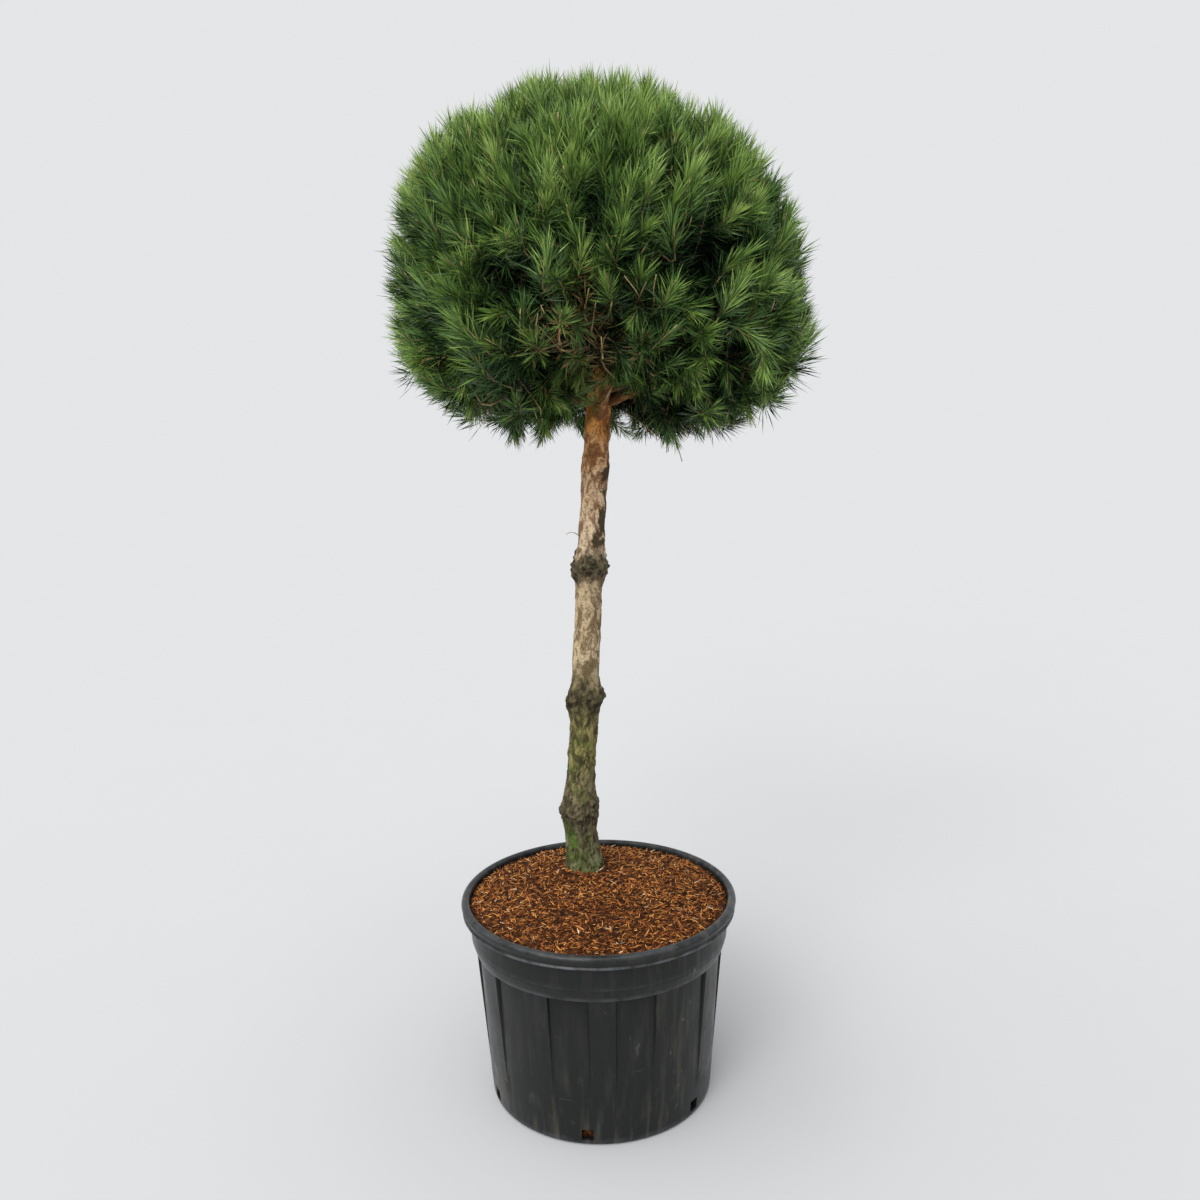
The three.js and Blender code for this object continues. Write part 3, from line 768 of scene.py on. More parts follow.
def chip_tree():
    """Scatters slivers over the upward faces of a bed."""
    tree = Tree("scatter_chips", [
        ("Density", "NodeSocketFloat"), ("Seed", "NodeSocketInt"), ("Chips", "NodeSocketCollection"),
        ("Smallest", "NodeSocketFloat"), ("Largest", "NodeSocketFloat"), ("Material", "NodeSocketMaterial")])
    normal = tree.add("GeometryNodeInputNormal").outputs[0]
    up = tree.add("ShaderNodeSeparateXYZ", {0: normal}).outputs["Z"]
    upward = tree.add("FunctionNodeCompare", {0: up, 1: 0.3}, operation="GREATER_THAN").outputs[0]
    spread = tree.add("GeometryNodeDistributePointsOnFaces", {
        "Mesh": tree.input["Geometry"], "Selection": upward,
        "Density": tree.input["Density"], "Seed": tree.input["Seed"]})
    turn = tree.add("FunctionNodeRandomValue", {
        0: (-0.55, -0.55, 0.0), 1: (0.55, 0.55, math.tau), "Seed": tree.input["Seed"]},
        data_type="FLOAT_VECTOR").outputs[0]
    size = tree.add("FunctionNodeRandomValue", {
        2: tree.input["Smallest"], 3: tree.input["Largest"], "Seed": tree.input["Seed"]},
        data_type="FLOAT").outputs[1]
    shapes = tree.add("GeometryNodeCollectionInfo", {
        "Collection": tree.input["Chips"], "Separate Children": True, "Reset Children": True}).outputs[0]
    placed = tree.add("GeometryNodeInstanceOnPoints", {
        "Points": spread.outputs["Points"], "Instance": shapes, "Pick Instance": True,
        "Rotation": turn, "Scale": size}).outputs[0]
    return tree.finish(placed)


CHIP_SHAPES = 14  # different slivers to scatter
CHIP_COLOURS = {
    # colour, and how many for the density that the settings give
    "dark": ((0.018, 0.007, 0.003), 0.9),
    "brown": ((0.110, 0.036, 0.010), 1.0),
    "russet": ((0.370, 0.120, 0.026), 1.7),
    "tan": ((0.620, 0.280, 0.075), 0.9),
    "pale": ((0.760, 0.540, 0.340), 0.12),
}


class TOPIARY_OT_make_mulch(bpy.types.Operator):
    """Fills the pot's mouth with compost and a loose layer of bark chips and fibre"""

    bl_idname = "topiary.make_mulch"
    bl_label = "Make mulch"

    def execute(self, context):
        settings = context.scene.topiary_mulch
        packed = frame["nodes"]["potting_mix"]
        packed.data.materials.clear()
        packed.data.materials.append(soil_finish())
        bed = bed_mesh(settings)
        bed.shade_smooth()
        bed.materials.append(packed.data.materials[0])
        chips = pattern_set("chip", [chip_mesh(i, settings) for i in range(CHIP_SHAPES)])
        tree = chip_tree()
        for i, (label, (colour, share)) in enumerate(CHIP_COLOURS.items()):
            scattered = run_tree(f"mulch_{label}", bed, tree, {
                "Density": settings.chip_density * share, "Seed": settings.seed + i, "Chips": chips,
                "Smallest": 0.5, "Largest": 1.2, "Material": chip_finish(label, colour)})
            add_piece(f"mulch_{label}", scattered)
        discard(chips)
        add_piece("compost", bed)
        return {"FINISHED"}


# ---------------------------------------------------------------- stem

def stem_rings():
    """Height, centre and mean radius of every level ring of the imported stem, foot first."""
    points = np.unique(np.round(points_of("stem"), 5), axis=0)
    rows = []
    for z in np.unique(np.round(points[:, 2], 4)):
        ring = points[np.abs(points[:, 2] - z) < 2e-4][:, :2]
        low, high = ring.min(0), ring.max(0)
        if (high - low).min() < 0.01:
            continue
        reach = np.linalg.norm(ring - ring.mean(0), axis=1)
        ring = ring[reach > 0.3 * reach.max()]
        centre = ring.mean(0)
        rows.append((z, *centre, np.linalg.norm(ring - centre, axis=1).mean()))
    return np.array(rows)


RINGS = stem_rings()


def stem_centre(z):
    """The stem's centre line at a height, or at an array of heights."""
    return np.stack([np.interp(z, RINGS[:, 0], RINGS[:, 1]), np.interp(z, RINGS[:, 0], RINGS[:, 2])], -1)


def stem_radius(z):
    return np.interp(z, RINGS[:, 0], RINGS[:, 3])


KNUCKLE_SWELL, KNUCKLES_TO = 0.003, 1.3  # a whorl's least swelling, and the height they end below
DEAD_TWIG_RISE = 0.062  # height of the dead twig above the top whorl


def knuckle_heights():
    """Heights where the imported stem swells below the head."""
    z, r = RINGS[:, 0], RINGS[:, 3]
    return [z[i] for i in range(2, len(z) - 1)
            if r[i] > r[i - 1] + KNUCKLE_SWELL and r[i] > r[i + 1] and z[i] < KNUCKLES_TO]


def eased(values, count):
    """A running mean that keeps the ends."""
    padded = np.pad(values, count, mode="edge")
    kernel = np.hanning(2 * count + 3)[1:-1]
    return np.convolve(padded, kernel / kernel.sum(), mode="valid")


def flaking(points, scale, layers, shift):
    """Bark in thin layers: which layer shows at each point, and how near it is to a layer's edge."""
    level = layers * (0.5 + 0.5 * rough_field(points, scale, 4, shift))
    part = level - np.floor(level)
    return np.floor(level) + np.clip(part / 0.25, 0, 1), np.exp(-((part / 0.16) ** 2))


def knuckle_bark(settings, skin, turn, reach):
    """Relief, painted shade in the hollows, and patchiness that the old whorls add to the bark."""
    rng = np.random.default_rng(settings.seed)
    height = skin[:, 2]
    relief, hollow_shade, near = np.zeros(len(skin)), np.zeros(len(skin)), np.zeros(len(skin))
    for level, dark in zip(knuckle_heights(), (0.5, 0.85, 1.0)):
        wander = 0.007 * np.sin(3 * turn + 40 * level) + 0.005 * np.sin(5 * turn + 9 * level)
        near = np.maximum(near, dark * np.exp(-(((height - level - wander) / 0.030) ** 4)))
        for k in range(settings.scars):
            at = 2 * math.pi * (k + rng.uniform(-0.35, 0.35)) / settings.scars
            across = np.angle(np.exp(1j * (turn - at))) * reach
            size = rng.uniform(0.008, 0.014)
            away = np.hypot(across, height - level - rng.uniform(-0.014, 0.014)) / size
            relief += 0.0048 * np.exp(-(((away - 0.85) / 0.4) ** 2)) - 0.003 * np.exp(-((away / 0.5) ** 2))
            hollow_shade = np.maximum(hollow_shade, np.exp(-((away / 0.45) ** 2)))
    coarse = rough_field(skin, (48, 48, 55), 4, 5.0)
    relief += settings.knuckle_relief * near * (coarse + 0.1)
    hollow_shade = np.maximum(hollow_shade, near * np.clip(-2.2 * coarse, 0, 0.85))
    return relief, hollow_shade, np.clip(near * (0.8 + 1.2 * coarse), 0, 1)


def dead_twig(settings):
    """A thin arched dead twig on the left, a little above the top whorl."""
    level = knuckle_heights()[-1] + DEAD_TWIG_RISE
    at = np.array([*stem_centre(level), level])
    reach = float(stem_radius(level)) - 0.004
    share = np.linspace(0, 1, 7)
    path = at + np.stack([-reach - share * settings.dead_twig, -0.01 + 0 * share,
                          0.010 * np.sin(share * 2.6)], axis=1)
    return tube(path, np.linspace(0.0011, 0.0004, 7), 4)


CLEAR_STEM_TOP = 1.56  # rows are fine up to here, and coarse above, inside the head


def stem_mesh(settings):
    clear = np.arange(STEM_LOW.z - 0.006, CLEAR_STEM_TOP, settings.row_height)
    hidden = np.linspace(CLEAR_STEM_TOP + 0.002, STEM_HIGH.z, 50)
    z = np.concatenate([clear, hidden])
    columns = settings.columns
    turn = np.tile(np.arange(columns) * 2 * math.pi / columns, len(z))
    height = np.repeat(z, columns)
    centre = np.stack([eased(stem_centre(z)[:, k], 14) for k in (0, 1)], axis=1)
    radius = np.repeat(eased(stem_radius(z), 4), columns)
    skin = np.stack([radius * np.sin(turn), -radius * np.cos(turn), height], axis=1)

    foot = np.clip(1 - (height - STEM_LOW.z) / 0.48, 0, 1) ** 0.6
    fissures = np.exp(-((rough_field(skin, (62, 62, 20), 4, settings.seed) / 0.12) ** 2))
    layer, edge = flaking(skin, (46, 46, 26), 5, 3.0)
    rise, hollow_shade, patch = knuckle_bark(settings, skin, turn, radius)
    relief = settings.flake_depth * (layer - 2.5) - settings.fissure_depth * fissures * foot
    relief += 0.0022 * foot * rough_field(skin, (90, 90, 60), 3, 8.0) + rise
    relief -= 0.004 * np.clip(1 - (height - STEM_LOW.z) / 0.05, 0, 1)
    # painted shade where the bark sinks: fissures, flake edges and hollows
    crevice_shade = np.clip(0.85 * fissures * foot + 0.55 * edge * (1 - 0.4 * foot) + hollow_shade, 0, 0.9)

    reach = radius + relief
    points = np.stack([np.repeat(centre[:, 0], columns) + reach * np.sin(turn),
                       np.repeat(centre[:, 1], columns) - reach * np.cos(turn), height], axis=1)
    ends = np.array([[*centre[0], z[0]], [*centre[-1], z[-1] + 0.004]])
    faces = np.concatenate([
        split_quads(grid_faces(len(z), columns)),
        fan(len(points), 0, columns, upward=False),
        fan(len(points) + 1, (len(z) - 1) * columns, columns, upward=True)])
    twig = dead_twig(settings)
    points, faces = joined([(np.concatenate([points, ends]), faces), twig])
    others = np.zeros(2 + len(twig[0]))
    return make_mesh("stem_bark", points, faces, [
        ("crevice_shade", "FLOAT", np.concatenate([crevice_shade, others])),
        ("knuckle", "FLOAT", np.concatenate([patch, others])),
        ("side", "FLOAT", np.concatenate([np.sin(turn), others]))])


class TOPIARY_OT_make_stem(bpy.types.Operator):
    """Gives the stem its bark: fissures, flakes, knuckles, healed scars and a dead twig"""

    bl_idname = "topiary.make_stem"
    bl_label = "Make stem"

    def execute(self, context):
        mesh = stem_mesh(context.scene.topiary_stem)
        mesh.shade_smooth()
        mesh.materials.append(stem_finish())
        add_piece("stem_bark", mesh, ["stem"])
        return {"FINISHED"}


# ---------------------------------------------------------------- head

HEAD_POINTS = np.concatenate([points_of(name) for name in FOLIAGE])
HEAD_LOW, HEAD_HIGH = HEAD_POINTS.min(0), HEAD_POINTS.max(0)
HEAD_HEART = np.array([*((HEAD_LOW + HEAD_HIGH) / 2)[:2], HEAD_LOW[2] + 0.36 * (HEAD_HIGH - HEAD_LOW)[2]])


OUTLINE_RAYS = 26000  # rays that feel out the head's outline
OUTLINE_NEIGHBOURS = 110  # rays that the outline is evened over
OUTLINE_RANK = 88  # which of them, by reach, gives the even outline
HEART_RADIUS = 0.18  # no shoot ends this near the head's heart
STEM_GAP = 9  # degrees to each side of the front that are kept open before the stem
STEM_GAP_TOP = 1.49  # no shoot is chosen in that gap below this height
STEM_SHOWS_TO = 1.54  # and of the chosen ones none is kept below this one
LOW_HOLES_TOP = 0.28  # share of the head's height up to which the inner layers have holes too
CLEFT_THINNING, WINDOW_THINNING = 0.97, 0.66  # share of the shoots left out in the cleft and thin part


def all_masses():
    """Points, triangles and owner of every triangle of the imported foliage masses."""
    points, faces = joined([(points_of(name), triangles_of(name)) for name in FOLIAGE])
    owner = np.concatenate([np.full(len(triangles_of(name)), i) for i, name in enumerate(FOLIAGE)])
    return points, faces, owner


def head_share(z):
    """0 at the bottom of the head and 1 at its top."""
    return (z - HEAD_LOW[2]) / (HEAD_HIGH[2] - HEAD_LOW[2])


def from_front(places):
    """Angle round the head's axis, from the front and positive to the right."""
    return np.arctan2(places[:, 0] - HEAD_HEART[0], HEAD_HEART[1] - places[:, 1])


def head_skin(rng, count, seam_depth):
    """Places all over the head's outline, evened over the seams, with the outward normal and mass."""
    points, faces, owner = all_masses()
    tree = BVHTree.FromPolygons([Vector(p) for p in points], [tuple(f) for f in faces])
    met = []
    for way in unit(rng.normal(0, 1, (count, 3))):
        place, normal, face, distance = tree.ray_cast(Vector(HEAD_HEART + way), Vector(-way), 0.85)
        if place is not None:
            met.append((*way, 1 - distance, *normal, owner[face]))
    met = np.array(met)
    way, reach, normal = met[:, :3], met[:, 3], met[:, 4:7]
    near = KDTree(len(way))
    for i, w in enumerate(way):
        near.insert(Vector(w), i)
    near.balance()
    even, smooth = np.empty(len(way)), np.empty((len(way), 3))
    for i, w in enumerate(way):
        around = [found[1] for found in near.find_n(Vector(w), OUTLINE_NEIGHBOURS)]
        usual = np.partition(reach[around], OUTLINE_RANK)[OUTLINE_RANK] - seam_depth
        even[i] = np.clip(usual, reach[i], reach[i] + 0.05)
        smooth[i] = normal[around].mean(0)
    return HEAD_HEART + way * even[:, None], unit(smooth), way, met[:, 7].astype(int)


def spread_out(rng, place, spacing):
    """Keeps places, in random order, that are no nearer to each other than their own spacing."""
    kept, cells = [], {}
    cell = spacing.max()
    for i in rng.permutation(len(place)):
        key = tuple(np.floor(place[i] / cell).astype(int))
        near = [j for dx in (-1, 0, 1) for dy in (-1, 0, 1) for dz in (-1, 0, 1)
                for j in cells.get((key[0] + dx, key[1] + dy, key[2] + dz), ())]
        if near and np.min(np.sum((place[near] - place[i]) ** 2, axis=1)) < spacing[i] ** 2:
            continue
        kept.append(i)
        cells.setdefault(key, []).append(i)
    return np.array(kept)


CLEFT_FOOT, CLEFT_TOP = 1.46, 1.84  # heights between which the cleft runs
CLEFT_TURNS = (45, 30)  # degrees from the front to its middle, low down and high up
THIN_TURN, THIN_HEIGHT = -8, 1.60  # degrees from the front and height of the thin part's middle
THIN_WIDTH, THIN_RISE = 24, 0.11  # and how far it reaches, in degrees and in metres


def cleft(settings, place):
    """1 in the gap between the front of the head and its right flank, 0 away from it."""
    height = place[:, 2]
    middle = np.radians(np.interp(height, [CLEFT_FOOT, CLEFT_TOP - 0.02], CLEFT_TURNS))
    tall = np.clip((height - CLEFT_FOOT) / 0.06, 0, 1) * np.clip((CLEFT_TOP - height) / 0.08, 0, 1)
    return tall * np.exp(-(((from_front(place) - middle) / settings.cleft_width) ** 2))


def window(place):
    """1 in the thin part low on the front of the head, where twigs and old needles show."""
    across = (np.degrees(from_front(place)) - THIN_TURN) / THIN_WIDTH
    up = (place[:, 2] - THIN_HEIGHT) / THIN_RISE
    return np.exp(-(across**2) - up**2)


def before_stem(place, top):
    """Which places lie in the gap at the front that shows the stem, up to a height."""
    return (np.abs(np.degrees(from_front(place))) < STEM_GAP) & (place[:, 2] < top)


def place_shoots(settings):
    """Every shoot: where its needles end, its aim, size and mass, whether it is inside, and its dip."""
    rng = np.random.default_rng(settings.seed)
    place, normal, way, owner = head_skin(rng, OUTLINE_RAYS, settings.seam_depth)
    gap = cleft(settings, place)
    thin_outside = np.maximum(CLEFT_THINNING * gap, WINDOW_THINNING * window(place))
    patches = rough_field(place, 7.5, 2, 3.0)
    holes = patches > np.quantile(patches, 1 - settings.holes)
    low_holes = holes & (head_share(place[:, 2]) < LOW_HOLES_TOP)
    unthinned = np.zeros(len(place))
    rows = []
    for sunk, spacing, closed, thinned in (
            (0.0, settings.spacing, holes, thin_outside),
            (settings.inner_depth, settings.inner_spacing, low_holes, 0.6 * gap),
            (settings.inner_depth * 2.1, settings.inner_spacing * 1.3, low_holes, unthinned)):
        at = place - way * sunk
        clear = before_stem(at, STEM_GAP_TOP)
        near = np.linalg.norm(at - HEAD_HEART, axis=1) < HEART_RADIUS
        usable = np.flatnonzero(~closed & ~clear & ~near)
        crowding = spacing * np.interp(head_share(at[usable, 2]), [0, 0.25, 1], [1.15, 1.0, 0.98])
        chosen = usable[spread_out(rng, at[usable], crowding)]
        chosen = chosen[rng.random(len(chosen)) >= thinned[chosen]]
        n, o, share = normal[chosen], way[chosen], head_share(at[chosen, 2])
        wander = np.interp(share, [0.3, 0.8], [0.42, 0.30])
        aim = 0.7 * n + 0.4 * o + wander[:, None] * rng.normal(0, 1, n.shape)
        aim[:, 2] += np.interp(share, [0, 0.2, 0.5, 1.0], [-0.15, 0.1, 0.65, 1.1])
        aim = unit(aim)
        aim = unit(aim + o * np.clip(0.5 - np.sum(aim * o, axis=1), 0, None)[:, None] * 1.3)
        dip = np.clip(0.45 + 1.7 * rough_field(at[chosen], 11, 2, 6.0), 0, 1)
        dip *= np.interp(share, [0.6, 0.95], [1, 0.5]) * (sunk == 0)
        ragged = np.interp(share, [0, 0.25, 1], [0.045, 0.022, 0.010])
        sunk_by = rng.uniform(0, ragged) + settings.dip_depth * dip - settings.overhang
        tip = at[chosen] - o * sunk_by[:, None]
        full = rng.uniform(0.8, 1.12, len(tip)) * np.interp(share, [0, 0.25, 1], [0.68, 1.0, 1.0])
        hides_stem = before_stem(at[chosen], STEM_SHOWS_TO)
        made = (tip, aim, full, owner[chosen], np.full(len(tip), sunk > 0), dip)
        rows.append([column[~hides_stem] for column in made])
    return [np.concatenate(column) for column in zip(*rows)]


def needle_pairs(rng, settings, base, way, full):
    """Needles of two faces each, two from every base, widest past the middle and pointed at both ends."""
    count = len(base)
    across = unit(np.cross(way, rng.normal(0, 1, (count, 3))))
    spread = rng.uniform(0.04, 0.17, (count, 1))
    points = []
    for sign in (1, -1):
        aim = unit(way + sign * spread * across + rng.normal(0, 0.02, (count, 3)))
        length = full * settings.needle_length * rng.uniform(0.72, 1.08, (count, 1))
        side = unit(np.cross(aim, rng.normal(0, 1, (count, 3)))) * settings.needle_width / 2
        bend = length * across * rng.uniform(-0.16, 0.16, (count, 1))
        shoulder = base + aim * length * 0.56 + bend
        points.append(np.stack([base, shoulder + side, base + aim * length + bend * 2.0,
                                shoulder - side], axis=1))
    points = np.concatenate(points).reshape(-1, 3)
    first = np.arange(2 * count)[:, None] * 4
    return points, np.concatenate([first + [0, 1, 3], first + [1, 2, 3]])


SPRAY_KINDS = [
    # first seed, which count of pairs and its divisor, low and high share, wide and narrow lean, size
    (0, "young_pairs", 1, 0.42, 1.0, 40, 8, 1.0),
    (40, "young_pairs", 1, 0.30, 0.95, 56, 18, 1.0),
    (80, "old_pairs", 1, 0.0, 0.55, 84, 50, 1.0),
    (120, "old_pairs", 2, 0.1, 0.9, 120, 40, 0.7),
]
DEAD_KIND = 3  # the row for dead needles


def spray_mesh(settings, seed, pairs, low, high, wide, narrow, full):
    """Part of a shoot, from one share of its length to another, its needles closing towards the tip."""
    rng = np.random.default_rng(seed)
    share = np.linspace(low, high, pairs) + rng.uniform(-0.01, 0.01, pairs)
    turn = np.arange(pairs) * GOLDEN_ANGLE + rng.uniform(-0.3, 0.3, pairs)
    lean = np.radians(np.interp(share, [low, high], [wide, narrow]) + rng.normal(0, 14, pairs))
    bow = 0.006 * np.sin(share * 2.2)
    base = np.stack([bow, np.zeros(pairs), share * settings.shoot_length], axis=1)
    way = np.stack([np.sin(lean) * np.cos(turn), np.sin(lean) * np.sin(turn), np.cos(lean)], axis=1)
    return make_mesh("spray", *needle_pairs(rng, settings, base, way, full))


def spray_tree():
    """Sets a spray on every point, turned and sized by the point's own attributes."""
    tree = Tree("dress_shoots", [("Sprays", "NodeSocketCollection"), ("Material", "NodeSocketMaterial")])
    shapes = tree.add("GeometryNodeCollectionInfo", {
        "Collection": tree.input["Sprays"], "Separate Children": True, "Reset Children": True}).outputs[0]
    turn = tree.add("FunctionNodeEulerToRotation", {0: tree.attribute("turn", "FLOAT_VECTOR")}).outputs[0]
    placed = tree.add("GeometryNodeInstanceOnPoints", {
        "Points": tree.input["Geometry"], "Instance": shapes, "Pick Instance": True,
        "Instance Index": tree.attribute("spray", "INT"), "Rotation": turn,
        "Scale": tree.attribute("size", "FLOAT")}).outputs[0]
    return tree.finish(placed)


# the lightest greens serve partly as painted highlight and the darkest as painted shade
NEEDLE_COLOURS = [
    ("shade", (0.004, 0.009, 0.004)),
    ("dark", (0.011, 0.026, 0.009)),
    ("deep", (0.029, 0.066, 0.020)),
    ("green", (0.055, 0.118, 0.031)),
    ("leaf", (0.090, 0.176, 0.040)),
    ("light", (0.140, 0.248, 0.050)),
    ("fresh", (0.210, 0.335, 0.068)),
    ("tip", (0.300, 0.430, 0.105)),
    ("bronze", (0.210, 0.155, 0.055)),
    ("dry", (0.320, 0.185, 0.072)),
]
GREENS = 8  # the colours after the first eight are those of dead needles
# lighter higher up: partly fresh growth, partly painted light from above
TONE_BY_HEIGHT = ([0, 0.2, 0.45, 0.75, 1.0], [3.1, 3.8, 4.1, 4.4, 4.8])  # share of height, usual colour
PIECE_LIMIT = 190000  # faces in one joined piece of needles


def shoot_tones(settings, tip, inner, dip):
    """The colours of each shoot's two young sprays and of its old one, by height, depth and patch, with
    painted light and shade in them.
    """
    rng = np.random.default_rng(settings.seed + 1)
    count = len(tip)
    tone = np.interp(head_share(tip[:, 2]), *TONE_BY_HEIGHT)
    tone += 1.0 * rough_field(tip, 9, 2, 2.0) + rng.normal(0, 0.75, count)
    thin = window(tip)
    # painted shade: darker where the shoots stand back and in the thin part
    tone -= 0.7 * thin + 2.3 * dip - 0.3
    # painted highlight on the first young spray and painted shade on the second; the old spray darker; inner
    # shoots painted near black as shade
    first = np.where(inner, 0.28 * tone, tone + 1.7)
    second = np.where(inner, 0.12 * tone, tone - 1.3)
    old = np.where(inner, 0.05 * tone, tone - 2.4)
    tones = [np.clip(np.round(values), 0, GREENS - 1).astype(int) for values in (first, second, old)]
    chance = rng.random(count)
    dead = chance < np.where(inner, 0.25, 0.06) + 0.75 * thin
    tones[2] = np.where(dead, np.where(rng.random(count) < 0.5, GREENS, GREENS + 1), tones[2])
    tones[1] = np.where(chance < 0.03 + 0.45 * thin, GREENS, tones[1])
    tones[0] = np.where(chance < np.where(inner, 0.6, 0.14) * thin, GREENS + 1, tones[0])
    return tones


def facing_turns(rng, aim):
    """Turns that point a shoot's own axis along its aim, with a random twist, as x, y and z angles."""
    turns = []
    for way, twist in zip(aim, rng.uniform(0, math.tau, len(aim))):
        turn = Vector(way).to_track_quat("Z", "Y").to_matrix() @ Matrix.Rotation(twist, 3, "Z")
        turns.append(turn.to_euler()[:])
    return np.array(turns)


def needle_finish(label, colour):
    """Plain needle colour, a little glossy but for the two darkest, which are dull: old needles and the
    painted shade inside the head.
    """
    finish = Finish(f"needles_{label}", roughness=0.36, gloss=0.36 if max(colour) > 0.05 else 0.08)
    finish.surface.inputs["Base Color"].default_value = (*colour, 1)
    return finish.material


class TOPIARY_OT_dress_head(bpy.types.Operator):
    """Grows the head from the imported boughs: limbs, twigs, and sprays of needles on every shoot"""

    bl_idname = "topiary.dress_head"
    bl_label = "Dress head"

    def execute(self, context):
        settings = context.scene.topiary_head
        tip, aim, size, owner, inner, dip = place_shoots(settings)
        reach = (settings.shoot_length + 0.75 * settings.needle_length) * size
        foot = tip - aim * reach[:, None]
        grow_limbs(settings, foot, aim, owner)
        self.dress(settings, foot, aim, size, shoot_tones(settings, tip, inner, dip))
        return {"FINISHED"}

    def dress(self, settings, foot, aim, size, tones):
        """Deals every shoot's sprays out by colour and joins each colour into pieces."""
        rng = np.random.default_rng(settings.seed + 2)
        kinds = settings.variants
        shapes = [spray_mesh(settings, seed + i, getattr(settings, pairs) // divisor, *form)
                  for seed, pairs, divisor, *form in SPRAY_KINDS for i in range(kinds)]
        sprays = pattern_set("spray", shapes)
        per_piece = PIECE_LIMIT // max(len(mesh.polygons) for mesh in shapes)
        turns = facing_turns(rng, aim)
        kind = rng.integers(0, kinds, len(foot))
        who = np.tile(np.arange(len(foot)), len(tones))
        which = np.concatenate([kind + k * kinds for k in range(len(tones))])
        tone = np.concatenate(tones)
        which = np.where(tone >= GREENS, DEAD_KIND * kinds + which % kinds, which)
        tree = spray_tree()
        for number, (label, colour) in enumerate(NEEDLE_COLOURS):
            finish = needle_finish(label, colour)
            chosen = np.flatnonzero(tone == number)
            for part, start in enumerate(range(0, len(chosen), per_piece)):
                some = chosen[start:start + per_piece]
                cloud = make_mesh("shoots", foot[who[some]], np.empty((0, 3), int), [
                    ("turn", "FLOAT_VECTOR", turns[who[some]]), ("size", "FLOAT", size[who[some]]),
                    ("spray", "INT", which[some])])
                name = f"needles_{label}_{part + 1}"
                mesh = run_tree(name, cloud, tree, {"Sprays": sprays, "Material": finish})
                add_piece(name, mesh, FOLIAGE)
        discard(sprays)


def bough_ends(name):
    """Where a packed bough leaves the stem and where it goes on into its mass."""
    points = points_of(name)
    away = np.linalg.norm(points[:, :2] - stem_centre(points[:, 2]), axis=1)
    return points[away < away.min() + 0.012].mean(0), points[away > away.max() - 0.015].mean(0)


def grow_limbs(settings, foot, aim, owner):
    """Limbs of each mass: a bough from the stem, side boughs off it, and a twig to every shoot."""
    rng = np.random.default_rng(settings.seed + 3)
    boughs, twigs = [], []
    for number, name in enumerate(FOLIAGE):
        members = np.flatnonzero(owner == number)
        heart = foot[members].mean(0)
        bough = name.replace("foliage", "bough")
        if bough in BOUGHS:
            start, end = bough_ends(bough)
            way = unit(end - start)
            main = curved_path(start - way * 0.015, way * 0.9, heart, unit(heart - end) * 0.7, 9)
            boughs.append(tube(main, np.linspace(0.012, 0.006, 9), 8))
        else:
            top = STEM_HIGH.z - 0.10
            start = np.array([*stem_centre(top), top])
            heart = heart + (0, 0, 0.03)
            main = curved_path(start, np.array([0, 0, 1.0]), heart, np.array([0.1, 0, 1.0]), 9)
        spread = grow_side_boughs(rng, members, foot, heart, main)
        for path, group in spread:
            boughs.append(tube(path, np.linspace(0.0052, 0.0028, len(path)), 6))
            for i in group:
                at = path[rng.integers(2, len(path))]
                way = unit(path[-1] - path[0])
                twig = curved_path(at, way * 0.8, foot[i] + aim[i] * 0.03, aim[i] * 0.9, 5)
                twigs.append(tube(twig, [0.0024, 0.0021, 0.0019, 0.0017, 0.0015], 4))
                stalk = np.stack([foot[i] + aim[i] * 0.028, foot[i] + aim[i] * 0.09])
                twigs.append(tube(stalk, [0.0016, 0.0010], 3))
        twigs += bare_twigs(rng, settings, [path for path, _ in spread], foot[members], aim[members])
    for name, parts, nodes, finish in (("boughs", boughs, BOUGHS, bough_finish()),
                                       ("twigs", twigs, (), twig_finish())):
        mesh = make_mesh(name, *joined(parts))
        mesh.shade_smooth()
        mesh.materials.append(finish)
        add_piece(name, mesh, nodes)


def bare_twigs(rng, settings, paths, foot, aim):
    """Thin crooked twigs without needles, that reach out between the shoots of one mass."""
    twigs = []
    for _ in range(settings.bare_twigs):
        path = paths[rng.integers(len(paths))]
        at = path[rng.integers(2, len(path))]
        k = rng.integers(len(foot))
        end = foot[k] + aim[k] * rng.uniform(0.05, 0.10) + rng.normal(0, 0.015, 3)
        crooked = curved_path(at, unit(path[-1] - path[0]), end, 0.4 * aim[k] + rng.normal(0, 0.4, 3), 8)
        crooked += np.cumsum(rng.normal(0, 0.0016, crooked.shape), axis=0)
        twigs.append(tube(crooked, np.linspace(0.0022, 0.0009, 8), 3))
    return twigs


def grow_side_boughs(rng, members, foot, heart, main):
    """Side boughs of one mass, each with the shoots that it feeds."""
    places = foot[members]
    count = max(3, len(members) // 13)
    picked = [int(rng.integers(len(members)))]
    for _ in range(count - 1):
        gaps = np.min(np.linalg.norm(places[:, None] - places[picked][None], axis=2), axis=1)
        picked.append(int(np.argmax(gaps)))
    nearest = np.argmin(np.linalg.norm(places[:, None] - places[picked][None], axis=2), axis=1)
    spread = []
    for k in range(count):
        group = members[nearest == k]
        if not len(group):
            continue
        target = foot[group].mean(0)
        end = heart + (target - heart) * rng.uniform(0.62, 0.8)
        at = int(rng.integers(4, len(main)))
        way = unit(main[at] - main[at - 1])
        path = curved_path(main[at], way * 0.7, end, unit(target - heart), 7)
        path += np.cumsum(rng.normal(0, 0.0022, path.shape), axis=0)
        spread.append((path, group))
    return spread


# ---------------------------------------------------------------- stage

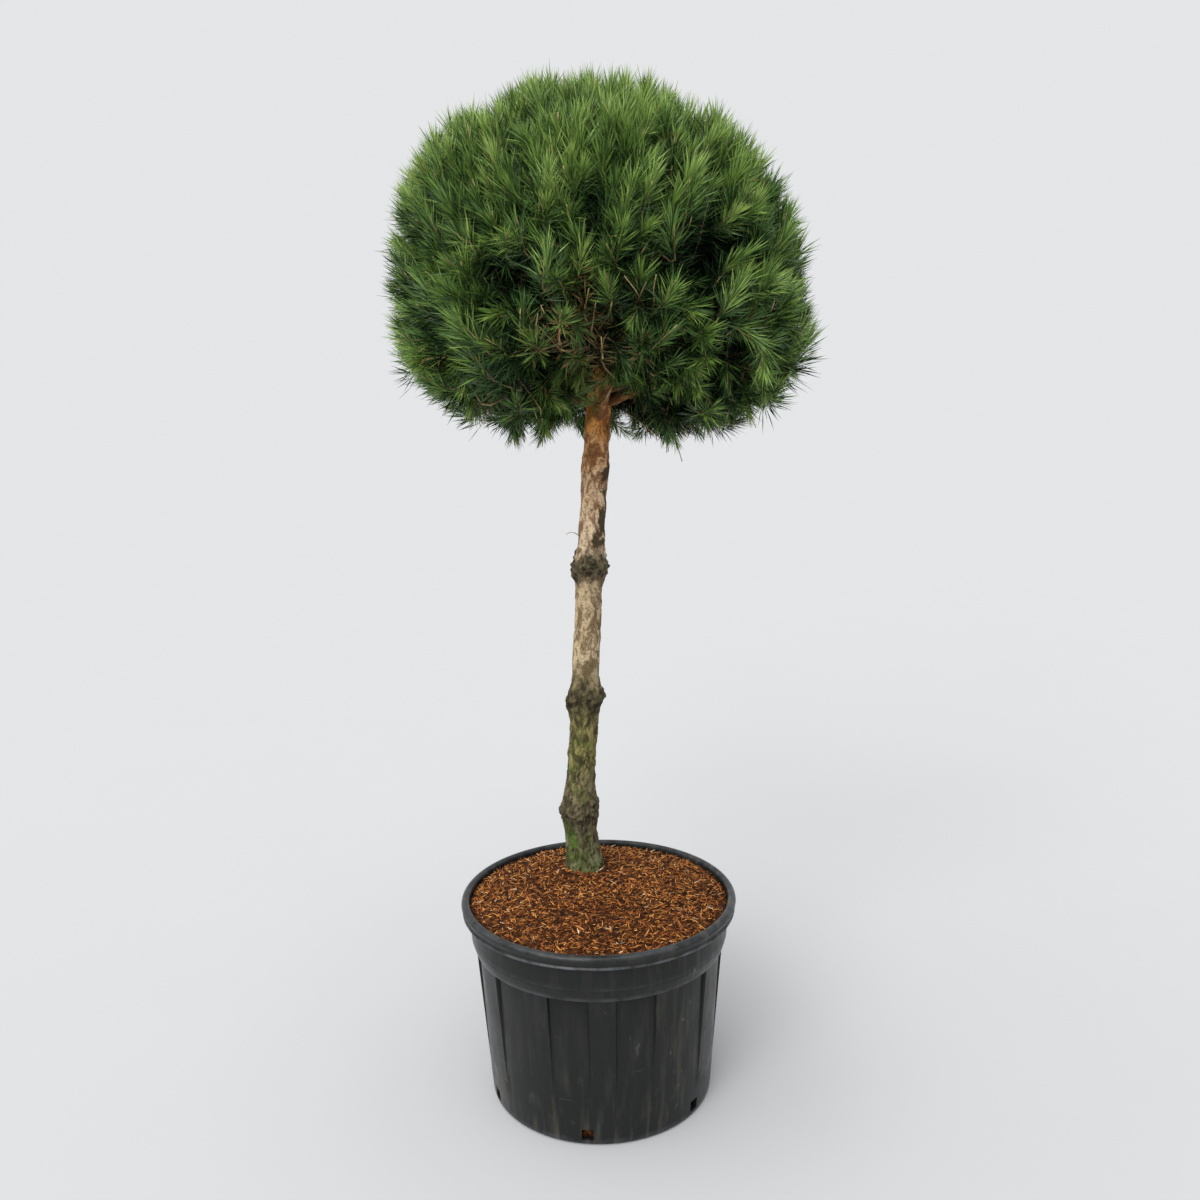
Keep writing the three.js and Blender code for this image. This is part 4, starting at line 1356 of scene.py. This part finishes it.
class TOPIARY_OT_set_stage(bpy.types.Operator):
    """Sets a pale floor, soft studio light and the camera"""

    bl_idname = "topiary.set_stage"
    bl_label = "Set stage"

    def execute(self, context):
        settings = context.scene.topiary_stage
        self.floor(context)
        self.lights(context, settings)
        self.camera(context, settings)
        context.scene.view_settings.view_transform = "Standard"
        return {"FINISHED"}

    def floor(self, context):
        half = 40.0
        corners = np.array([[-half, -half, 0], [half, -half, 0], [half, half, 0], [-half, half, 0]])
        mesh = make_mesh("studio_floor", corners - (0, 0, 0.0005), np.array([[0, 1, 2, 3]]))
        finish = Finish("pale_floor", roughness=1.0, gloss=0.0)
        finish.set("Base Color", finish.mix(finish.noise(2), (0.472, 0.480, 0.492), (0.484, 0.492, 0.504)))
        mesh.materials.append(finish.material)
        floor = bpy.data.objects.new("studio_floor", mesh)
        context.scene.collection.objects.link(floor)

    def lights(self, context, settings):
        world = bpy.data.worlds.new("studio")
        world.use_nodes = True
        world.node_tree.nodes["Background"].inputs["Color"].default_value = (0.97, 0.985, 1.0, 1)
        world.node_tree.nodes["Background"].inputs["Strength"].default_value = settings.surround
        context.scene.world = world
        for name, turn, strength, width in (("overhead", (14, -16, 0), settings.overhead, 70),
                                            ("key", (48, -34, 0), settings.key, 35)):
            lamp = bpy.data.lights.new(name, "SUN")
            lamp.angle = math.radians(width)
            lamp.energy = strength
            lamp.color = (1.0, 0.985, 0.96)
            light = bpy.data.objects.new(name, lamp)
            light.location = (0, 0, 4)
            light.rotation_euler = [math.radians(angle) for angle in turn]
            context.scene.collection.objects.link(light)

    def camera(self, context, settings):
        lens = bpy.data.cameras.new("camera")
        lens.lens = settings.lens
        lens.sensor_width = 36
        camera = bpy.data.objects.new("camera", lens)
        camera.location = (0.014, -settings.distance, settings.height)
        upright = Euler((math.pi / 2 - settings.pitch, 0, 0)).to_matrix()
        camera.rotation_euler = (upright @ Matrix.Rotation(settings.roll, 3, "Z")).to_euler()
        context.scene.collection.objects.link(camera)
        context.scene.camera = camera


# ---------------------------------------------------------------- panel and registration

class TOPIARY_PT_panel(bpy.types.Panel):
    """Lists the pieces of the potted pine"""

    bl_idname = "TOPIARY_PT_panel"
    bl_label = "Standard Pine"
    bl_space_type = "VIEW_3D"
    bl_region_type = "UI"
    bl_category = "Topiary"

    def draw(self, context):
        for operator, group in STEPS:
            box = self.layout.box()
            box.operator(operator.bl_idname)
            settings = getattr(context.scene, group)
            for label in settings.__annotations__:
                box.prop(settings, label)


STEPS = (
    (TOPIARY_OT_set_stage, "topiary_stage"),
    (TOPIARY_OT_make_pot, "topiary_pot"),
    (TOPIARY_OT_make_mulch, "topiary_mulch"),
    (TOPIARY_OT_make_stem, "topiary_stem"),
    (TOPIARY_OT_dress_head, "topiary_head"),
)
GROUPS = {
    "topiary_stage": StageSettings,
    "topiary_pot": PotSettings,
    "topiary_mulch": MulchSettings,
    "topiary_stem": StemSettings,
    "topiary_head": HeadSettings,
}


def register():
    for label, group in GROUPS.items():
        bpy.utils.register_class(group)
        setattr(bpy.types.Scene, label, bpy.props.PointerProperty(type=group))
    for operator, _ in STEPS:
        bpy.utils.register_class(operator)
    bpy.utils.register_class(TOPIARY_PT_panel)


def unregister():
    bpy.utils.unregister_class(TOPIARY_PT_panel)
    for operator, _ in reversed(STEPS):
        bpy.utils.unregister_class(operator)
    for label, group in GROUPS.items():
        delattr(bpy.types.Scene, label)
        bpy.utils.unregister_class(group)


def main():
    """Makes every piece in order."""
    register()
    bpy.ops.topiary.set_stage()
    bpy.ops.topiary.make_pot()
    bpy.ops.topiary.make_mulch()
    bpy.ops.topiary.make_stem()
    bpy.ops.topiary.dress_head()
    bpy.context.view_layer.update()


if __name__ == "__main__":
    main()
